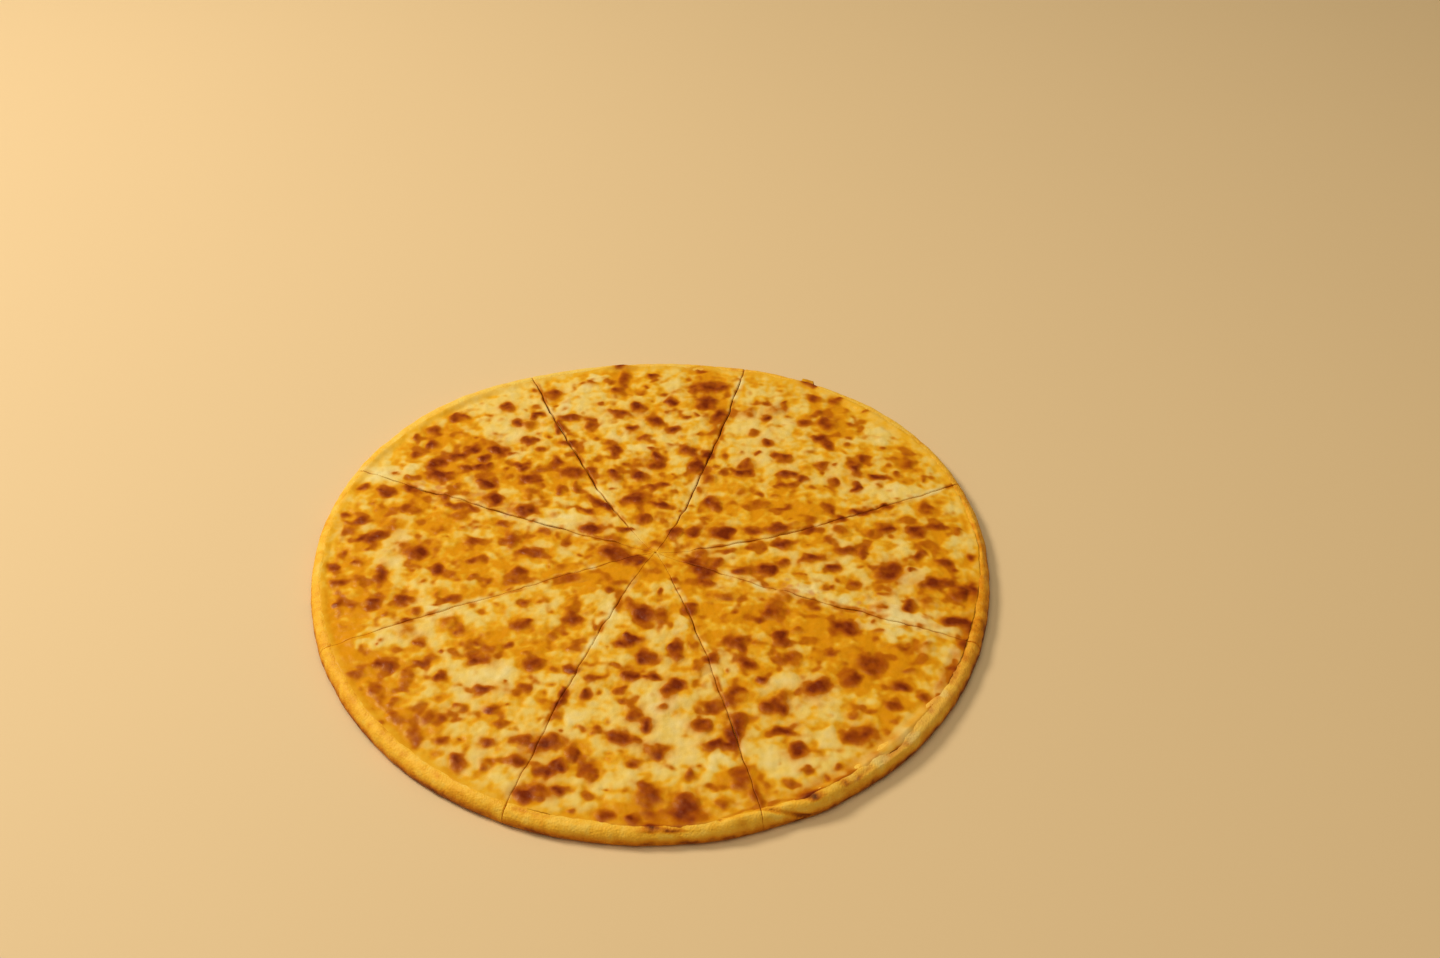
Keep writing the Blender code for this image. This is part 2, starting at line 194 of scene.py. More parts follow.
browning = {
    # x, y, wide, tall, tilt where there is one, depth of colour in tenths
    "slice3": (
        (-75, 107, 7, 6, 9), (-61, 101, 8, 4, 35, 8), (-69, 96, 5, 5, 8), (-100, 99, 6, 6, 8),
        (-94, 99, 6, 5, 8), (-108, 89, 8, 7, 7), (-107, 78, 6, 5, 9), (-116, 83, 4, 4, 7), (-115, 71, 5, 4, 7),
        (-77, 76, 11, 6, -15, 9), (-89, 75, 9, 6, 30, 9), (-96, 69, 11, 5, 20, 9), (-82, 69, 6, 5, 8),
        (-103, 66, 7, 6, 9), (-82, 62, 9, 5, 9), (-106, 62, 6, 6, 8), (-101, 56, 11, 7, 10),
        (-64, 64, 8, 5, -25, 9), (-59, 55, 9, 6, -20, 10), (-80, 51, 7, 7, 10), (-75, 40, 9, 7, -30, 9),
        (-62, 83, 8, 5, 8), (-57, 76, 5, 4, 6), (-54, 118, 9, 9, 7), (-48, 68, 6, 8, 8), (-69, 73, 5, 3, 6),
        (-90, 62, 6, 4, 7), (-60, 34, 9, 7, 9), (-113, 55, 6, 4, 6), (-44, 47, 5, 6, 6), (-27, 22, 10, 7, 10),
        (-12, 21, 7, 3, 8), (-37, 50, 4, 6, 7), (-91, 49, 5, 4, 6), (-97, 87, 7, 4, 6), (-63, 122, 4, 3, 5),
    ),
    "slice2": (
        (-19, 134, 6, 11, 7), (-22, 142, 6, 4, 9), (19, 140, 6, 3, 8), (-5, 135, 6, 3, 8), (-26, 129, 5, 4, 8),
        (-22, 121, 8, 6, 6), (5, 114, 5, 8, 20, 9), (-11, 109, 6, 7, 20, 9), (-21, 105, 10, 5, -10, 8),
        (-3, 99, 6, 10, 35, 9), (7, 93, 7, 5, 8), (-13, 93, 6, 5, 8), (-7, 86, 6, 5, 9), (-21, 78, 6, 9, 15, 9),
        (-43, 101, 11, 5, 8), (-34, 95, 6, 9, 8), (-48, 93, 5, 9, 15, 10), (-43, 81, 10, 4, 9),
        (-41, 59, 13, 8, 7), (-31, 62, 5, 5, 8), (-19, 58, 6, 9, 25, 9), (-7, 58, 8, 6, 9), (0, 72, 6, 6, 8),
        (-1, 66, 7, 5, 9), (0, 52, 12, 5, 10, 9), (14, 77, 8, 7, 8), (18, 66, 6, 11, -10, 9),
        (24, 74, 4, 8, -10, 10), (28, 103, 7, 13, -15, 9), (22, 114, 11, 9, 9), (21, 127, 11, 12, 8),
        (30, 127, 8, 8, 8), (14, 127, 5, 4, 6), (-10, 121, 4, 3, 5), (-30, 112, 5, 3, 6), (-3, 78, 5, 4, 6),
        (-5, 28, 7, 6, 8), (-9, 42, 12, 6, 15, 9), (2, 38, 10, 4, -15, 9), (-26, 39, 14, 4, -35, 9),
        (-16, 103, 5, 4, 6), (12, 102, 5, 4, 6), (26, 92, 5, 7, -10, 8), (20, 49, 4, 6, 6),
        (-31, 33, 9, 4, -30, 7), (-14, 66, 5, 4, 6),
    ),
    "slice1": (
        (42, 67, 7, 9, 7), (40, 61, 7, 5, 9), (51, 102, 5, 6, 8), (45, 91, 6, 5, 6), (52, 84, 6, 5, 8),
        (76, 118, 7, 5, 7), (86, 117, 6, 6, -30, 9), (74, 131, 9, 5, 8), (61, 112, 4, 8, 7), (69, 100, 7, 4, 7),
        (81, 98, 8, 9, 8), (94, 99, 7, 4, 6), (78, 88, 8, 6, 8), (81, 83, 4, 8, 7), (91, 89, 4, 3, 6),
        (60, 73, 9, 6, 8), (77, 68, 6, 5, 8), (93, 67, 6, 10, -25, 8), (103, 60, 11, 4, -5, 9),
        (61, 61, 8, 5, 9), (68, 58, 6, 5, -30, 8), (82, 56, 5, 8, 7), (58, 53, 10, 4, 6), (93, 53, 5, 8, 8),
        (118, 72, 8, 9, 6), (27, 40, 6, 10, 20, 8), (30, 20, 11, 9, 10), (18, 21, 7, 6, 8), (10, 20, 6, 8, 8),
        (80, 39, 5, 7, 7), (71, 30, 6, 4, 7), (47, 76, 4, 3, 6), (43, 40, 9, 4, 5), (60, 37, 8, 4, 5),
        (97, 74, 4, 5, 6), (113, 62, 4, 4, 5), (84, 31, 6, 4, 15, 9), (97, 36, 11, 4, 15, 10),
        (105, 40, 5, 4, 9), (48, 114, 8, 3, 5), (45, 22, 8, 5, 7), (62, 26, 9, 4, 10, 7), (125, 60, 5, 4, 5),
        (101, 110, 4, 3, 5),
    ),
    "slice8": (
        (56, 23, 8, 7, 8), (59, 13, 7, 6, 9), (71, 24, 8, 5, 7), (124, 40, 7, 9, 7), (105, 25, 8, 7, 9),
        (119, 24, 9, 7, 9), (128, 26, 12, 4, 7), (58, 1, 5, 6, 8), (71, 4, 12, 5, 10, 9), (85, 9, 10, 5, 8),
        (94, 9, 5, 7, 8), (81, -1, 6, 5, 8), (105, -4, 10, 11, 10), (119, 9, 4, 12, -20, 8), (130, 3, 8, 5, 8),
        (124, -10, 15, 6, 10, 10), (134, -16, 8, 8, 7), (141, -14, 4, 11, 8), (142, 8, 4, 5, 8),
        (112, -24, 6, 7, 8), (103, -17, 7, 4, 5), (90, -11, 5, 6, 6), (132, -33, 8, 5, 8), (20, 2, 14, 5, 5, 9),
        (24, -5, 9, 8, 9), (40, -5, 7, 6, 8), (50, -3, 8, 8, 10), (33, 8, 9, 3, 6), (47, 12, 6, 4, 5),
        (78, 16, 6, 4, 5), (97, 0, 5, 4, 5), (76, -13, 4, 6, 5), (30, 1, 5, 4, 7), (66, -6, 5, 4, 6),
        (138, 24, 3, 6, 4), (115, -2, 4, 3, 6),
    ),
    "slice7": (
        (83, -37, 11, 10, 10), (54, -27, 8, 10, 7), (70, -26, 6, 5, 6), (56, -45, 7, 9, 10, 7),
        (106, -49, 8, 5, 5), (128, -33, 8, 5, 8), (137, -36, 7, 6, 8), (134, -46, 6, 7, 7), (37, -47, 11, 8, 8),
        (33, -20, 14, 5, 5), (42, -60, 8, 7, 8), (49, -69, 5, 6, 8), (54, -83, 9, 9, 9),
        (70, -73, 11, 9, 25, 10), (104, -70, 7, 5, 10), (92, -58, 14, 9, 7), (84, -67, 8, 9, 7),
        (60, -57, 8, 9, 8), (76, -52, 8, 5, 6), (88, -97, 13, 8, 9), (103, -82, 8, 5, 6), (62, -106, 8, 8, 9),
        (56, -95, 14, 4, 22, 8), (83, -121, 9, 5, 10, 9), (67, -129, 9, 6, 10, 10), (65, -116, 6, 4, 5),
        (128, -60, 6, 4, 7), (37, -77, 9, 9, 20, 9), (38, -92, 7, 9, 9), (46, -129, 6, 9, 7),
        (86, -86, 6, 5, 6), (110, -62, 6, 4, 6), (45, -33, 7, 6, 6), (25, -13, 8, 5, 7), (18, -28, 6, 7, 7),
        (27, -57, 7, 5, 8), (64, -40, 7, 4, 5), (97, -40, 6, 4, 4), (47, -47, 6, 4, 5), (78, -113, 4, 3, 4),
        (115, -76, 6, 4, 5),
    ),
    "slice6": (
        (-2, -31, 18, 7, -30, 9), (-7, -48, 10, 6, 20, 10), (12, -50, 5, 9, -15, 8), (4, -18, 3, 5, 6),
        (0, -57, 8, 6, 10), (13, -57, 5, 8, 8), (-7, -67, 7, 6, 8), (3, -68, 8, 4, 8), (-10, -76, 6, 5, 7),
        (11, -75, 7, 10, -15, 9), (-20, -69, 8, 4, 6), (-4, -87, 7, 9, 8), (2, -93, 6, 6, 8),
        (-18, -97, 6, 4, 7), (-7, -102, 12, 6, -10, 9), (7, -108, 9, 6, 8), (-2, -113, 7, 5, 6),
        (-19, -118, 6, 9, 9), (-27, -109, 5, 9, 8), (-37, -118, 7, 6, 10), (-31, -115, 7, 6, 9),
        (23, -94, 9, 8, 8), (28, -83, 10, 6, 8), (30, -104, 11, 5, 9), (37, -101, 5, 11, 10),
        (40, -120, 9, 9, 7), (19, -132, 9, 8, 8), (4, -129, 11, 9, 7), (8, -145, 12, 4, 10),
        (19, -139, 14, 7, 9), (-12, -139, 7, 6, 8), (-40, -128, 11, 7, 7), (-45, -131, 6, 6, 8),
        (-30, -128, 6, 5, 8), (-35, -104, 9, 6, 8), (-33, -80, 4, 11, -15, 10), (-41, -106, 5, 10, -10, 8),
        (-24, -79, 5, 6, 8), (8, -85, 5, 4, 5), (20, -118, 4, 7, 6), (-30, -64, 7, 5, 8), (15, -145, 10, 3, 9),
        (-1, -141, 7, 5, 8), (33, -132, 7, 5, 6),
    ),
    "slice5": (
        (-33, -33, 7, 11, 15, 8), (-33, -10, 14, 6, 5), (-14, -14, 7, 4, 7), (-54, -40, 9, 6, 7),
        (-79, -44, 6, 4, 7), (-47, -62, 9, 7, 20, 8), (-51, -76, 9, 5, 20, 7), (-30, -52, 6, 5, 6),
        (-108, -64, 10, 5, 9), (-98, -71, 6, 11, -10, 7), (-91, -61, 9, 4, 25, 8), (-83, -70, 5, 7, 9),
        (-68, -60, 11, 6, -15, 8), (-66, -76, 11, 5, 9), (-109, -79, 7, 6, 7), (-61, -87, 7, 5, 8),
        (-74, -86, 6, 4, 6), (-85, -91, 12, 8, 7), (-97, -92, 8, 7, 5), (-90, -102, 8, 9, 15, 8),
        (-79, -104, 6, 4, 9), (-61, -104, 7, 5, 8), (-72, -115, 6, 9, 15, 8), (-119, -69, 6, 6, 6),
        (-61, -115, 5, 7, 6), (-49, -113, 8, 6, 7), (-47, -103, 9, 5, 6), (-95, -50, 5, 7, 10, 7),
        (-112, -50, 4, 3, 5), (-73, -50, 9, 4, 6), (-101, -84, 5, 4, 5), (-56, -95, 8, 3, 5),
        (-40, -45, 5, 5, 6), (-120, -82, 4, 6, 5), (-46, -24, 6, 5, 5),
    ),
    "slice4": (
        (-135, 47, 7, 5, 7), (-124, 44, 8, 6, 8), (-112, 45, 10, 4, -25, 9), (-89, 35, 13, 4, -10, 9),
        (-97, 42, 7, 5, 8), (-133, 24, 12, 4, 15, 8), (-124, 14, 14, 6, 20, 9), (-140, 28, 4, 4, 7),
        (-105, 4, 10, 9, 9), (-69, 24, 7, 4, 9), (-63, 14, 7, 11, 7), (-53, 6, 12, 6, 7), (-77, 0, 8, 6, 6),
        (-94, -7, 4, 9, 8), (-59, -9, 7, 9, 8), (-136, 3, 3, 5, 6), (-129, -3, 6, 5, 6), (-140, -6, 5, 4, 9),
        (-118, -11, 5, 14, 5, 8), (-135, -16, 8, 4, 25, 7), (-119, -28, 8, 7, 9), (-105, -26, 9, 6, 9),
        (-134, -29, 4, 4, 8), (-85, -24, 8, 5, 7), (-38, 12, 5, 8, 6), (-19, 6, 13, 9, 10), (-8, 1, 12, 6, 10),
        (-80, 12, 10, 5, 5), (-111, 32, 8, 6, 6), (-97, 20, 8, 5, 4), (-71, -13, 4, 5, 6), (-125, 31, 7, 5, 5),
        (-49, 20, 7, 5, 6), (-127, -16, 4, 4, 6), (-102, -38, 6, 4, 10, 8), (-142, -38, 3, 3, 8),
        (-112, -35, 6, 3, 5),
    ),
    "softSpots": (    # broad light browning between the spots: x, y, width in millimetres and depth
        (43, 107, 9, 5.0), (-88, 29, 9, 5.0), (3, 12, 9, 5.0), (120, -21, 9, 5.0), (21, 7, 9, 5.0),
        (99, -25, 8, 4.6), (85, 23, 9, 4.8), (5, -31, 9, 5.0), (24, 58, 9, 4.6), (-85, -38, 9, 4.2),
        (55, 109, 8, 4.4), (-57, 45, 9, 4.4), (-118, 22, 9, 4.6), (23, -63, 9, 4.6), (-8, 68, 9, 4.6),
        (-63, 94, 8, 4.2), (-102, -44, 9, 4.0), (-137, 18, 8, 4.4), (-17, 13, 9, 5.0), (-64, -55, 9, 4.4),
        (-111, 8, 8, 4.2), (40, 48, 8, 4.4), (58, -19, 9, 4.4), (117, -48, 8, 4.0), (5, -138, 8, 4.6),
        (57, -77, 8, 4.4),
    ),
    "clearings": (    # places left paler than their surroundings: x, y, width in millimetres and share cleared
        (-53, 61, 9, 0.7), (-93, 46, 9, 0.7), (-125, -16, 9, 0.7), (47, 11, 9, 0.7), (44, -117, 9, 0.6),
        (27, 89, 8, 0.6), (124, 14, 8, 0.6), (-29, 132, 8, 0.6), (-27, 6, 8, 0.6), (40, -87, 8, 0.5),
        (54, -57, 8, 0.6), (-7, -81, 8, 0.6), (-98, 86, 8, 0.6), (42, 38, 8, 0.6), (3, -6, 7, 0.6),
        (-93, -92, 8, 0.6), (-125, 32, 8, 0.5), (41, -78, 7, 0.4), (-114, 57, 8, 0.5), (15, 124, 7, 0.4),
        (-43, 33, 7, 0.5), (61, 28, 8, 0.5), (-41, -7, 8, 0.5), (63, 1, 8, 0.5), (32, -111, 8, 0.6),
        (-40, 72, 8, 0.5),
    ),
    "strength": {"slice2": 0.95, "slice4": 0.92, "slice5": 0.84},    # slices browned less than read
    "grown": 1.02, "patchDepth": 0.88, "tallestPuff": 0.0007,
    "fade": ((0.82, 1.2), (0.18, 0.36)),    # a spot's core and skirt: share and how fast it fades
    "haloReach": 2.2, "haloFade": 1.5, "puff": 0.10, "puffSpread": (0.45, 1.1), "puffFall": 0.75,
    "twoLobes": 11,    # a spot with more width plus height than this has two lobes
    "lobeAway": 0.40, "lobeSize": (0.42, 0.68), "lobeDepth": (0.40, 0.80),
    "specks": 190, "speckTries": 5000, "speckApart": 0.0052, "speckSize": (2.2, 5.2),
    "speckDepth": (0.16, 0.52), "speckThin": (0.55, 1.0), "speckField": (0.140, 0.138, -0.003),
    "speckOnPale": 0.05,    # only where it is browned less than this
}

oilZones = (    # x, y, half width, half height, more oil or, below 0, pale cheese; the pale entries on the cuts paint the highlight on the rounded cut edges
    (-95, 72, 30, 20, 0.55), (-110, 28, 24, 20, 0.45), (-131, -30, 14, 40, 0.75), (-120, -70, 20, 26, 0.70),
    (-75, -5, 28, 16, 0.45), (-50, -48, 28, 13, 0.40), (-25, -9, 24, 9, 0.80), (-5, 42, 18, 12, 0.30),
    (22, 124, 14, 18, 0.50), (85, 102, 8, 20, 0.70), (58, 38, 32, 12, 0.55), (118, 73, 9, 18, 0.45),
    (132, 8, 11, 34, 0.55), (58, -34, 38, 12, 0.60), (96, -56, 26, 16, 0.75), (108, -84, 18, 12, 0.60),
    (-5, -140, 42, 8, 0.35), (40, -120, 12, 12, 0.45), (-38, 62, 14, 16, 0.30), (-5, -4, 30, 14, 0.45),
    (-100, -95, 12, 14, 0.45), (20, -30, 12, 20, 0.40), (-20, 132, 9, 12, 0.50), (-60, 55, 14, 12, 0.35),
    (-75, 112, 30, 14, -0.55), (-70, 90, 20, 9, -0.75), (-129, 58, 10, 7, -1.20), (-116, 10, 8, 20, -0.75),
    (-38, 25, 14, 6, -0.90), (-66, -70, 15, 13, -0.95), (-84, -36, 16, 6, -0.40), (-58, -110, 22, 11, -0.40),
    (-30, 106, 18, 13, -0.50), (3, 92, 14, 12, -0.35), (8, 122, 10, 13, -0.40), (50, 100, 18, 20, -0.60),
    (44, 76, 13, 11, -0.50), (74, 66, 22, 10, -0.25), (108, 50, 17, 7, -0.70), (106, 92, 7, 11, -0.70),
    (84, -4, 26, 10, -0.35), (138, 16, 7, 8, -0.65), (-17, -34, 5, 16, -0.55), (10, -94, 18, 26, -0.70),
    (-14, -88, 10, 20, -0.35), (29, -66, 9, 12, -0.55), (66, -76, 15, 16, -0.60), (60, -112, 20, 11, -0.55),
    (104, -22, 14, 7, -0.50), (120, -50, 14, 6, -0.40), (-19, 46, 5, 14, -0.45), (93, 52, 14, 6, -0.30),
    (28, 10, 16, 8, -0.20), (-100, -45, 14, 8, -0.35), (-28, -134, 12, 7, -0.30), (15, 106, 8, 9, -0.35),
    (31, -112, 6, 5, -1.6), (-32, 133, 6, 4, -1.2), (-19, 87, 6, 5, -1.2), (-44, 31, 8, 4, -1.0),
    (-38, 123, 5, 5, -1.0), (-116, 60, 7, 4, -1.2), (-7, 78, 6, 5, -1.2), (-48, 108, 4, 7, -1.2),
    (-115, -51, 8, 5, -1.2), (-28, -89, 6, 5, -1.2), (14, -39, 4, 6, -1.2), (7, -83, 7, 5, -1.2),
    (-73, 81, 6, 5, -1.2), (-68, 72, 5, 5, -1.2), (92, -36, 6, 4, -1.2), (104, -41, 7, 4, -1.2),
    # The pale entries at (68, -16) to (123, -37), and at (110, -34), (82, -24), (-50, 24), (-88, 40), (-88, -33) and
    # (-38, 25), paint the highlight on the rounded cut edges.
    (74, -99, 6, 5, -1.1), (115, -6, 5, 6, -1.2), (68, -16, 8, 4, -1.5), (81, -21, 8, 3, -1.2),
    (102, -29, 8, 4, -2.2), (113, -33, 8, 4, -2.0), (123, -37, 6, 3, -1.4), (106, -97, 6, 5, -1.8),
    (93, -110, 6, 4, -1.6), (122, -72, 3, 6, -1.2), (129, -52, 3, 6, -1.0), (80, -119, 6, 3, -0.8),
    (-50, 24, 9, 3, -0.8), (-88, 40, 7, 3, -0.5), (-88, -33, 7, 3, -1.1), (110, -34, 7, 3, -0.8),
    (82, -24, 5, 2, -0.8),
)

pinkBits = (    # x, y, length along the cut, strength
    (61, -15, 9, 0.9), (70, -19, 7, 0.7), (89, -26, 8, 1.0), (97, -29, 8, 0.9), (46, -8, 8, 0.7),
    (-66, 32, 9, 0.8), (-80, 40, 10, 0.6), (-98, 46, 12, 0.8), (-112, 51, 9, 0.5), (29, 104, 8, 0.6),
    (-46, -107, 9, 0.7), (-38, -125, 8, 0.5), (134, -18, 7, 0.5), (-77, 84, 9, 0.35), (-14, 90, 6, 0.3),
)

surfaceMap = {
    "cell": 0.0003, "half": 0.1590,
    "warpX": ((0.0013, 0.0056, 3), (0.000104, 0.0019, 5)),    # here and below: size, length, seed
    "warpY": ((0.0013, 0.0056, 4), (0.000104, 0.0019, 6)),
    "oilStart": 0.42, "oil": ((0.36, 0.013, 8), (0.50, 0.0060, 9), (0.30, 0.0028, 10)),
    "pinkStart": 0.6, "pink": ((1.2, 0.0032, 20),),
    "patchyStart": 1.02, "patchy": ((0.12, 0.0024, 12), (0.36, 0.0050, 11)),
    "toast": ((1.0, 0.0085, 18), (0.6, 0.0042, 19)),
    "relief": (
        (0.00045, 0.026, 13), (0.00036, 0.011, 14), (0.00034, 0.0052, 15), (0.00013, 0.0024, 12),
        (0.00004, 0.0012, 16),
    ),
    "zoneGain": 0.75, "zoneReach": 1.35, "oilLift": 0.04, "oilGain": 0.92, "haloOil": 0.30,
    "rimReach": 0.0115, "rimFade": 0.004,    # where the cheese comes near the rim
    "toastOil": 0.7, "toastLift": 0.04, "toastRim": 1.2, "toastDepth": 0.42, "toastSpan": 1.1,
    "rimDip": 0.0004, "dipReach": 0.024, "dipRun": 0.014, "dipSpan": 1.6,
    "brownRelief": 0.00014, "oilDip": 0.00022, "paleRise": 0.00018, "haloDip": 0.00016,
}
mapAxis = np.arange(-surfaceMap["half"], surfaceMap["half"] + surfaceMap["cell"], surfaceMap["cell"])
mapX, mapY = np.meshgrid(mapAxis, mapAxis)


def onMap(name, x, y):    # a layer's value at places in the model
    field = surface[name]
    u, v = (np.clip((part + surfaceMap["half"]) / surfaceMap["cell"], 0, len(mapAxis) - 1.001) for part in (x, y))
    column, row = u.astype(int), v.astype(int)
    u, v = u - column, v - row
    low = field[row, column] * (1 - u) + field[row, column + 1] * u
    high = field[row + 1, column] * (1 - u) + field[row + 1, column + 1] * u
    return low * (1 - v) + high * v


def mapWindow(x, y, reach):
    first = [max(int((part - reach + surfaceMap["half"]) / surfaceMap["cell"]), 0) for part in (y, x)]
    last = [int((part + reach + surfaceMap["half"]) / surfaceMap["cell"]) + 1 for part in (y, x)]
    return slice(first[0], last[0]), slice(first[1], last[1])


surface = {name: np.zeros_like(mapX) for name in ("brown", "halo", "dome", "pink")}
dice = np.random.RandomState(21)
shiftX = rippleSum(mapX, mapY, surfaceMap["warpX"])
shiftY = rippleSum(mapX, mapY, surfaceMap["warpY"])


def bakeSpot(x, y, wide, tall, tilt, depth):
    window = mapWindow(x, y, 1.5 * max(wide, tall) + 2 * mm)
    acrossX = mapX[window] + shiftX[window] - x
    acrossY = mapY[window] + shiftY[window] - y
    u = (acrossX * cos(tilt) + acrossY * sin(tilt)) / (wide / 2)
    v = (acrossY * cos(tilt) - acrossX * sin(tilt)) / (tall / 2)
    away = np.sqrt(u * u + v * v)
    fade = sum(share * np.exp(-fall * away * away) for share, fall in browning["fade"])
    surface["brown"][window] = 1 - (1 - surface["brown"][window]) * (1 - depth * fade)
    halo = smooth((browning["haloReach"] - away) / browning["haloFade"])
    surface["halo"][window] = np.maximum(surface["halo"][window], halo)
    puff = min(browning["puff"] * min(wide, tall), browning["tallestPuff"]) * dice.uniform(*browning["puffSpread"])
    dome = puff * np.clip(1 - browning["puffFall"] * away * away, 0, 1) ** 0.8
    surface["dome"][window] = np.maximum(surface["dome"][window], dome)


def bakePatches(patches, strength):
    grown = browning["grown"]
    for x, y, wide, tall, *tilt, depth in patches:
        lobes = 2 if wide + tall > browning["twoLobes"] else 1    # they make the spot uneven
        tilt, depth = radians(sum(tilt)), depth * strength / 10
        x, y, wide, tall = x * mm, y * mm, wide * mm, tall * mm
        bakeSpot(x, y, grown * wide, grown * tall, tilt, browning["patchDepth"] * depth)
        for _ in range(lobes):
            turn, size = dice.uniform(0, 2 * pi), dice.uniform(*browning["lobeSize"])
            along, across = browning["lobeAway"] * wide * cos(turn), browning["lobeAway"] * tall * sin(turn)
            lobeX = x + along * cos(tilt) - across * sin(tilt)
            lobeY = y + along * sin(tilt) + across * cos(tilt)
            lean, share = dice.uniform(-1, 1), dice.uniform(*browning["lobeDepth"])
            bakeSpot(lobeX, lobeY, size * wide, size * tall, lean, share * depth)


def bakeSpecks():    # small browned spots between the large ones
    specks = []
    reachX, reachY, shift = browning["speckField"]
    for _ in range(browning["speckTries"]):
        turn, share, size = dice.uniform(0, 2 * pi), dice.uniform(), dice.uniform(*browning["speckSize"]) * mm
        x, y = reachX * share ** 0.5 * cos(turn), reachY * share ** 0.5 * sin(turn) + shift
        depth, tilt = dice.uniform(*browning["speckDepth"]), dice.uniform(-0.6, 0.6)
        thin = dice.uniform(*browning["speckThin"])
        clear = all(hypot(x - other[0], y - other[1]) > browning["speckApart"] for other in specks)
        if not clear or len(specks) >= browning["specks"]:
            continue
        if onMap("brown", np.array(x), np.array(y)) < browning["speckOnPale"]:
            specks.append((x, y))
            bakeSpot(x, y, size, size * thin, tilt, depth)
    print("small spots:", len(specks))


def awayFrom(x, y, wide, tall, warp):    # distance from a spot on the map, in its own half sizes
    return np.hypot((mapX + warp * shiftX - x * mm) / (wide * mm), (mapY + warp * shiftY - y * mm) / (tall * mm))


def makeSurface():
    for name, patches in browning.items():
        if name.startswith("slice"):
            bakePatches(patches, browning["strength"].get(name, 1.0))
    for x, y, wide, depth in browning["softSpots"]:
        bakeSpot(x * mm, y * mm, wide * mm, 0.85 * wide * mm, dice.uniform(-1, 1), depth / 10)
    for x, y, wide, share in browning["clearings"]:
        surface["brown"] *= 1 - share * np.exp(-0.6 * awayFrom(x, y, wide / 2, wide / 2, 1) ** 2)
    bakeSpecks()

    oil = rippleSum(mapX, mapY, surfaceMap["oil"], surfaceMap["oilStart"])
    for x, y, wide, tall, more in oilZones:
        oil += surfaceMap["zoneGain"] * more * smooth(surfaceMap["zoneReach"] - awayFrom(x, y, wide, tall, 3))
    surface["pale"] = np.clip(-oil * 1.1 + 0.1, 0, 1)
    oil = oil + surfaceMap["haloOil"] * surface["halo"]
    surface["oil"] = smooth(surfaceMap["oilLift"] + surfaceMap["oilGain"] * oil)
    for x, y, length, strength in pinkBits:
        near = smooth((1.3 - awayFrom(x, y, length / 2, length / 2, 2)) / 0.7)
        surface["pink"] = np.maximum(surface["pink"], strength * near)
    surface["pink"] *= smooth(rippleSum(mapX, mapY, surfaceMap["pink"], surfaceMap["pinkStart"]))

    inX, inY = mapX - form["crossing"][0], mapY - form["crossing"][1]
    beyond = np.hypot(inX, inY) - alongRim("outer", np.arctan2(inY, inX))    # below 0 inside the outline
    onRim = smooth((beyond + surfaceMap["rimReach"]) / surfaceMap["rimFade"])
    patchy = rippleSum(mapX, mapY, surfaceMap["patchy"], surfaceMap["patchyStart"])
    toast = rippleSum(mapX, mapY, surfaceMap["toast"]) + surfaceMap["toastOil"] * (surface["oil"] - 0.5)
    toast = toast + surfaceMap["toastLift"] - surfaceMap["toastRim"] * onRim
    toast = surfaceMap["toastDepth"] * smooth(toast / surfaceMap["toastSpan"])
    surface["brown"] = 1 - (1 - np.clip(surface["brown"] * patchy, 0, 1)) * (1 - toast)
    dip = (onRim + (beyond + surfaceMap["dipReach"]) / surfaceMap["dipRun"]) / surfaceMap["dipSpan"]
    surface["height"] = (
        rippleSum(mapX, mapY, surfaceMap["relief"], form["cheeseTop"]) + surface["dome"]
        - surfaceMap["rimDip"] * smooth(dip)
        + surface["brown"] * surfaceMap["brownRelief"] * ripples(mapX, mapY, 0.0018, 17)
        - surfaceMap["oilDip"] * surface["oil"] + surfaceMap["paleRise"] * surface["pale"]
        - surfaceMap["haloDip"] * surface["halo"] * (1 - surface["brown"])
    )
    print("surface map:", mapX.shape)


makeSurface()


# Shared steps for the pieces. A strip is a slice's number, each point's column and the last column.

edgeRound = {    # share of the rounding radius in from a cut, then how far down towards the floor
    "inset": np.array((0.06, 0.0, 0.0, 0.05, 0.17, 0.38, 0.66, 1.0)),
    "drop": np.array((1.0, 0.72, 0.46, 0.27, 0.14, 0.055, 0.013, 0.0)),
    "steps": 7,
}


def sheet(index, columns, rows):    # a flat grid, its strip and the row of each of its points
    model = bmesh.new()
    bmesh.ops.create_grid(model, x_segments=columns, y_segments=rows, size=0.5)
    places = np.array([vert.co[:] for vert in model.verts])
    column = np.rint((0.5 - places[:, 0]) * columns).astype(int)
    row = np.rint((places[:, 1] + 0.5) * rows).astype(int)
    return model, (index, column, columns), row


def spot(angle, radius):    # a place round the crossing of the cuts
    return radius * np.cos(angle) + form["crossing"][0], radius * np.sin(angle) + form["crossing"][1]


def place(model, angle, radius, height):
    x, y = spot(angle, radius)
    for vert, point in zip(model.verts, np.column_stack((x, y, height)).tolist()):
        vert.co = point


def straightAcross(strip):    # each point's direction at the rim, before its slice's edges bow
    index, column, columns = strip
    start, end = sliceSides(index, np.full(len(column), form["radius"]))
    return start + (end - start) * (column / columns)


def nearerCut(values, strip):    # for each point, the value of the cut that it lies nearer to
    index, column, columns = strip
    return np.where(column > columns / 2, values[(index + 1) % len(values)], values[index])


def halfGap(strip, radius):    # half of that cut's opening
    return gapAt(nearerCut([cut[2] for cut in form["cuts"]], strip), radius) / 2


def edgeSeed(strip):    # a number for each cut edge, so that no two wander alike
    return strip[0] + (strip[1] > strip[2] / 2) * 0.5


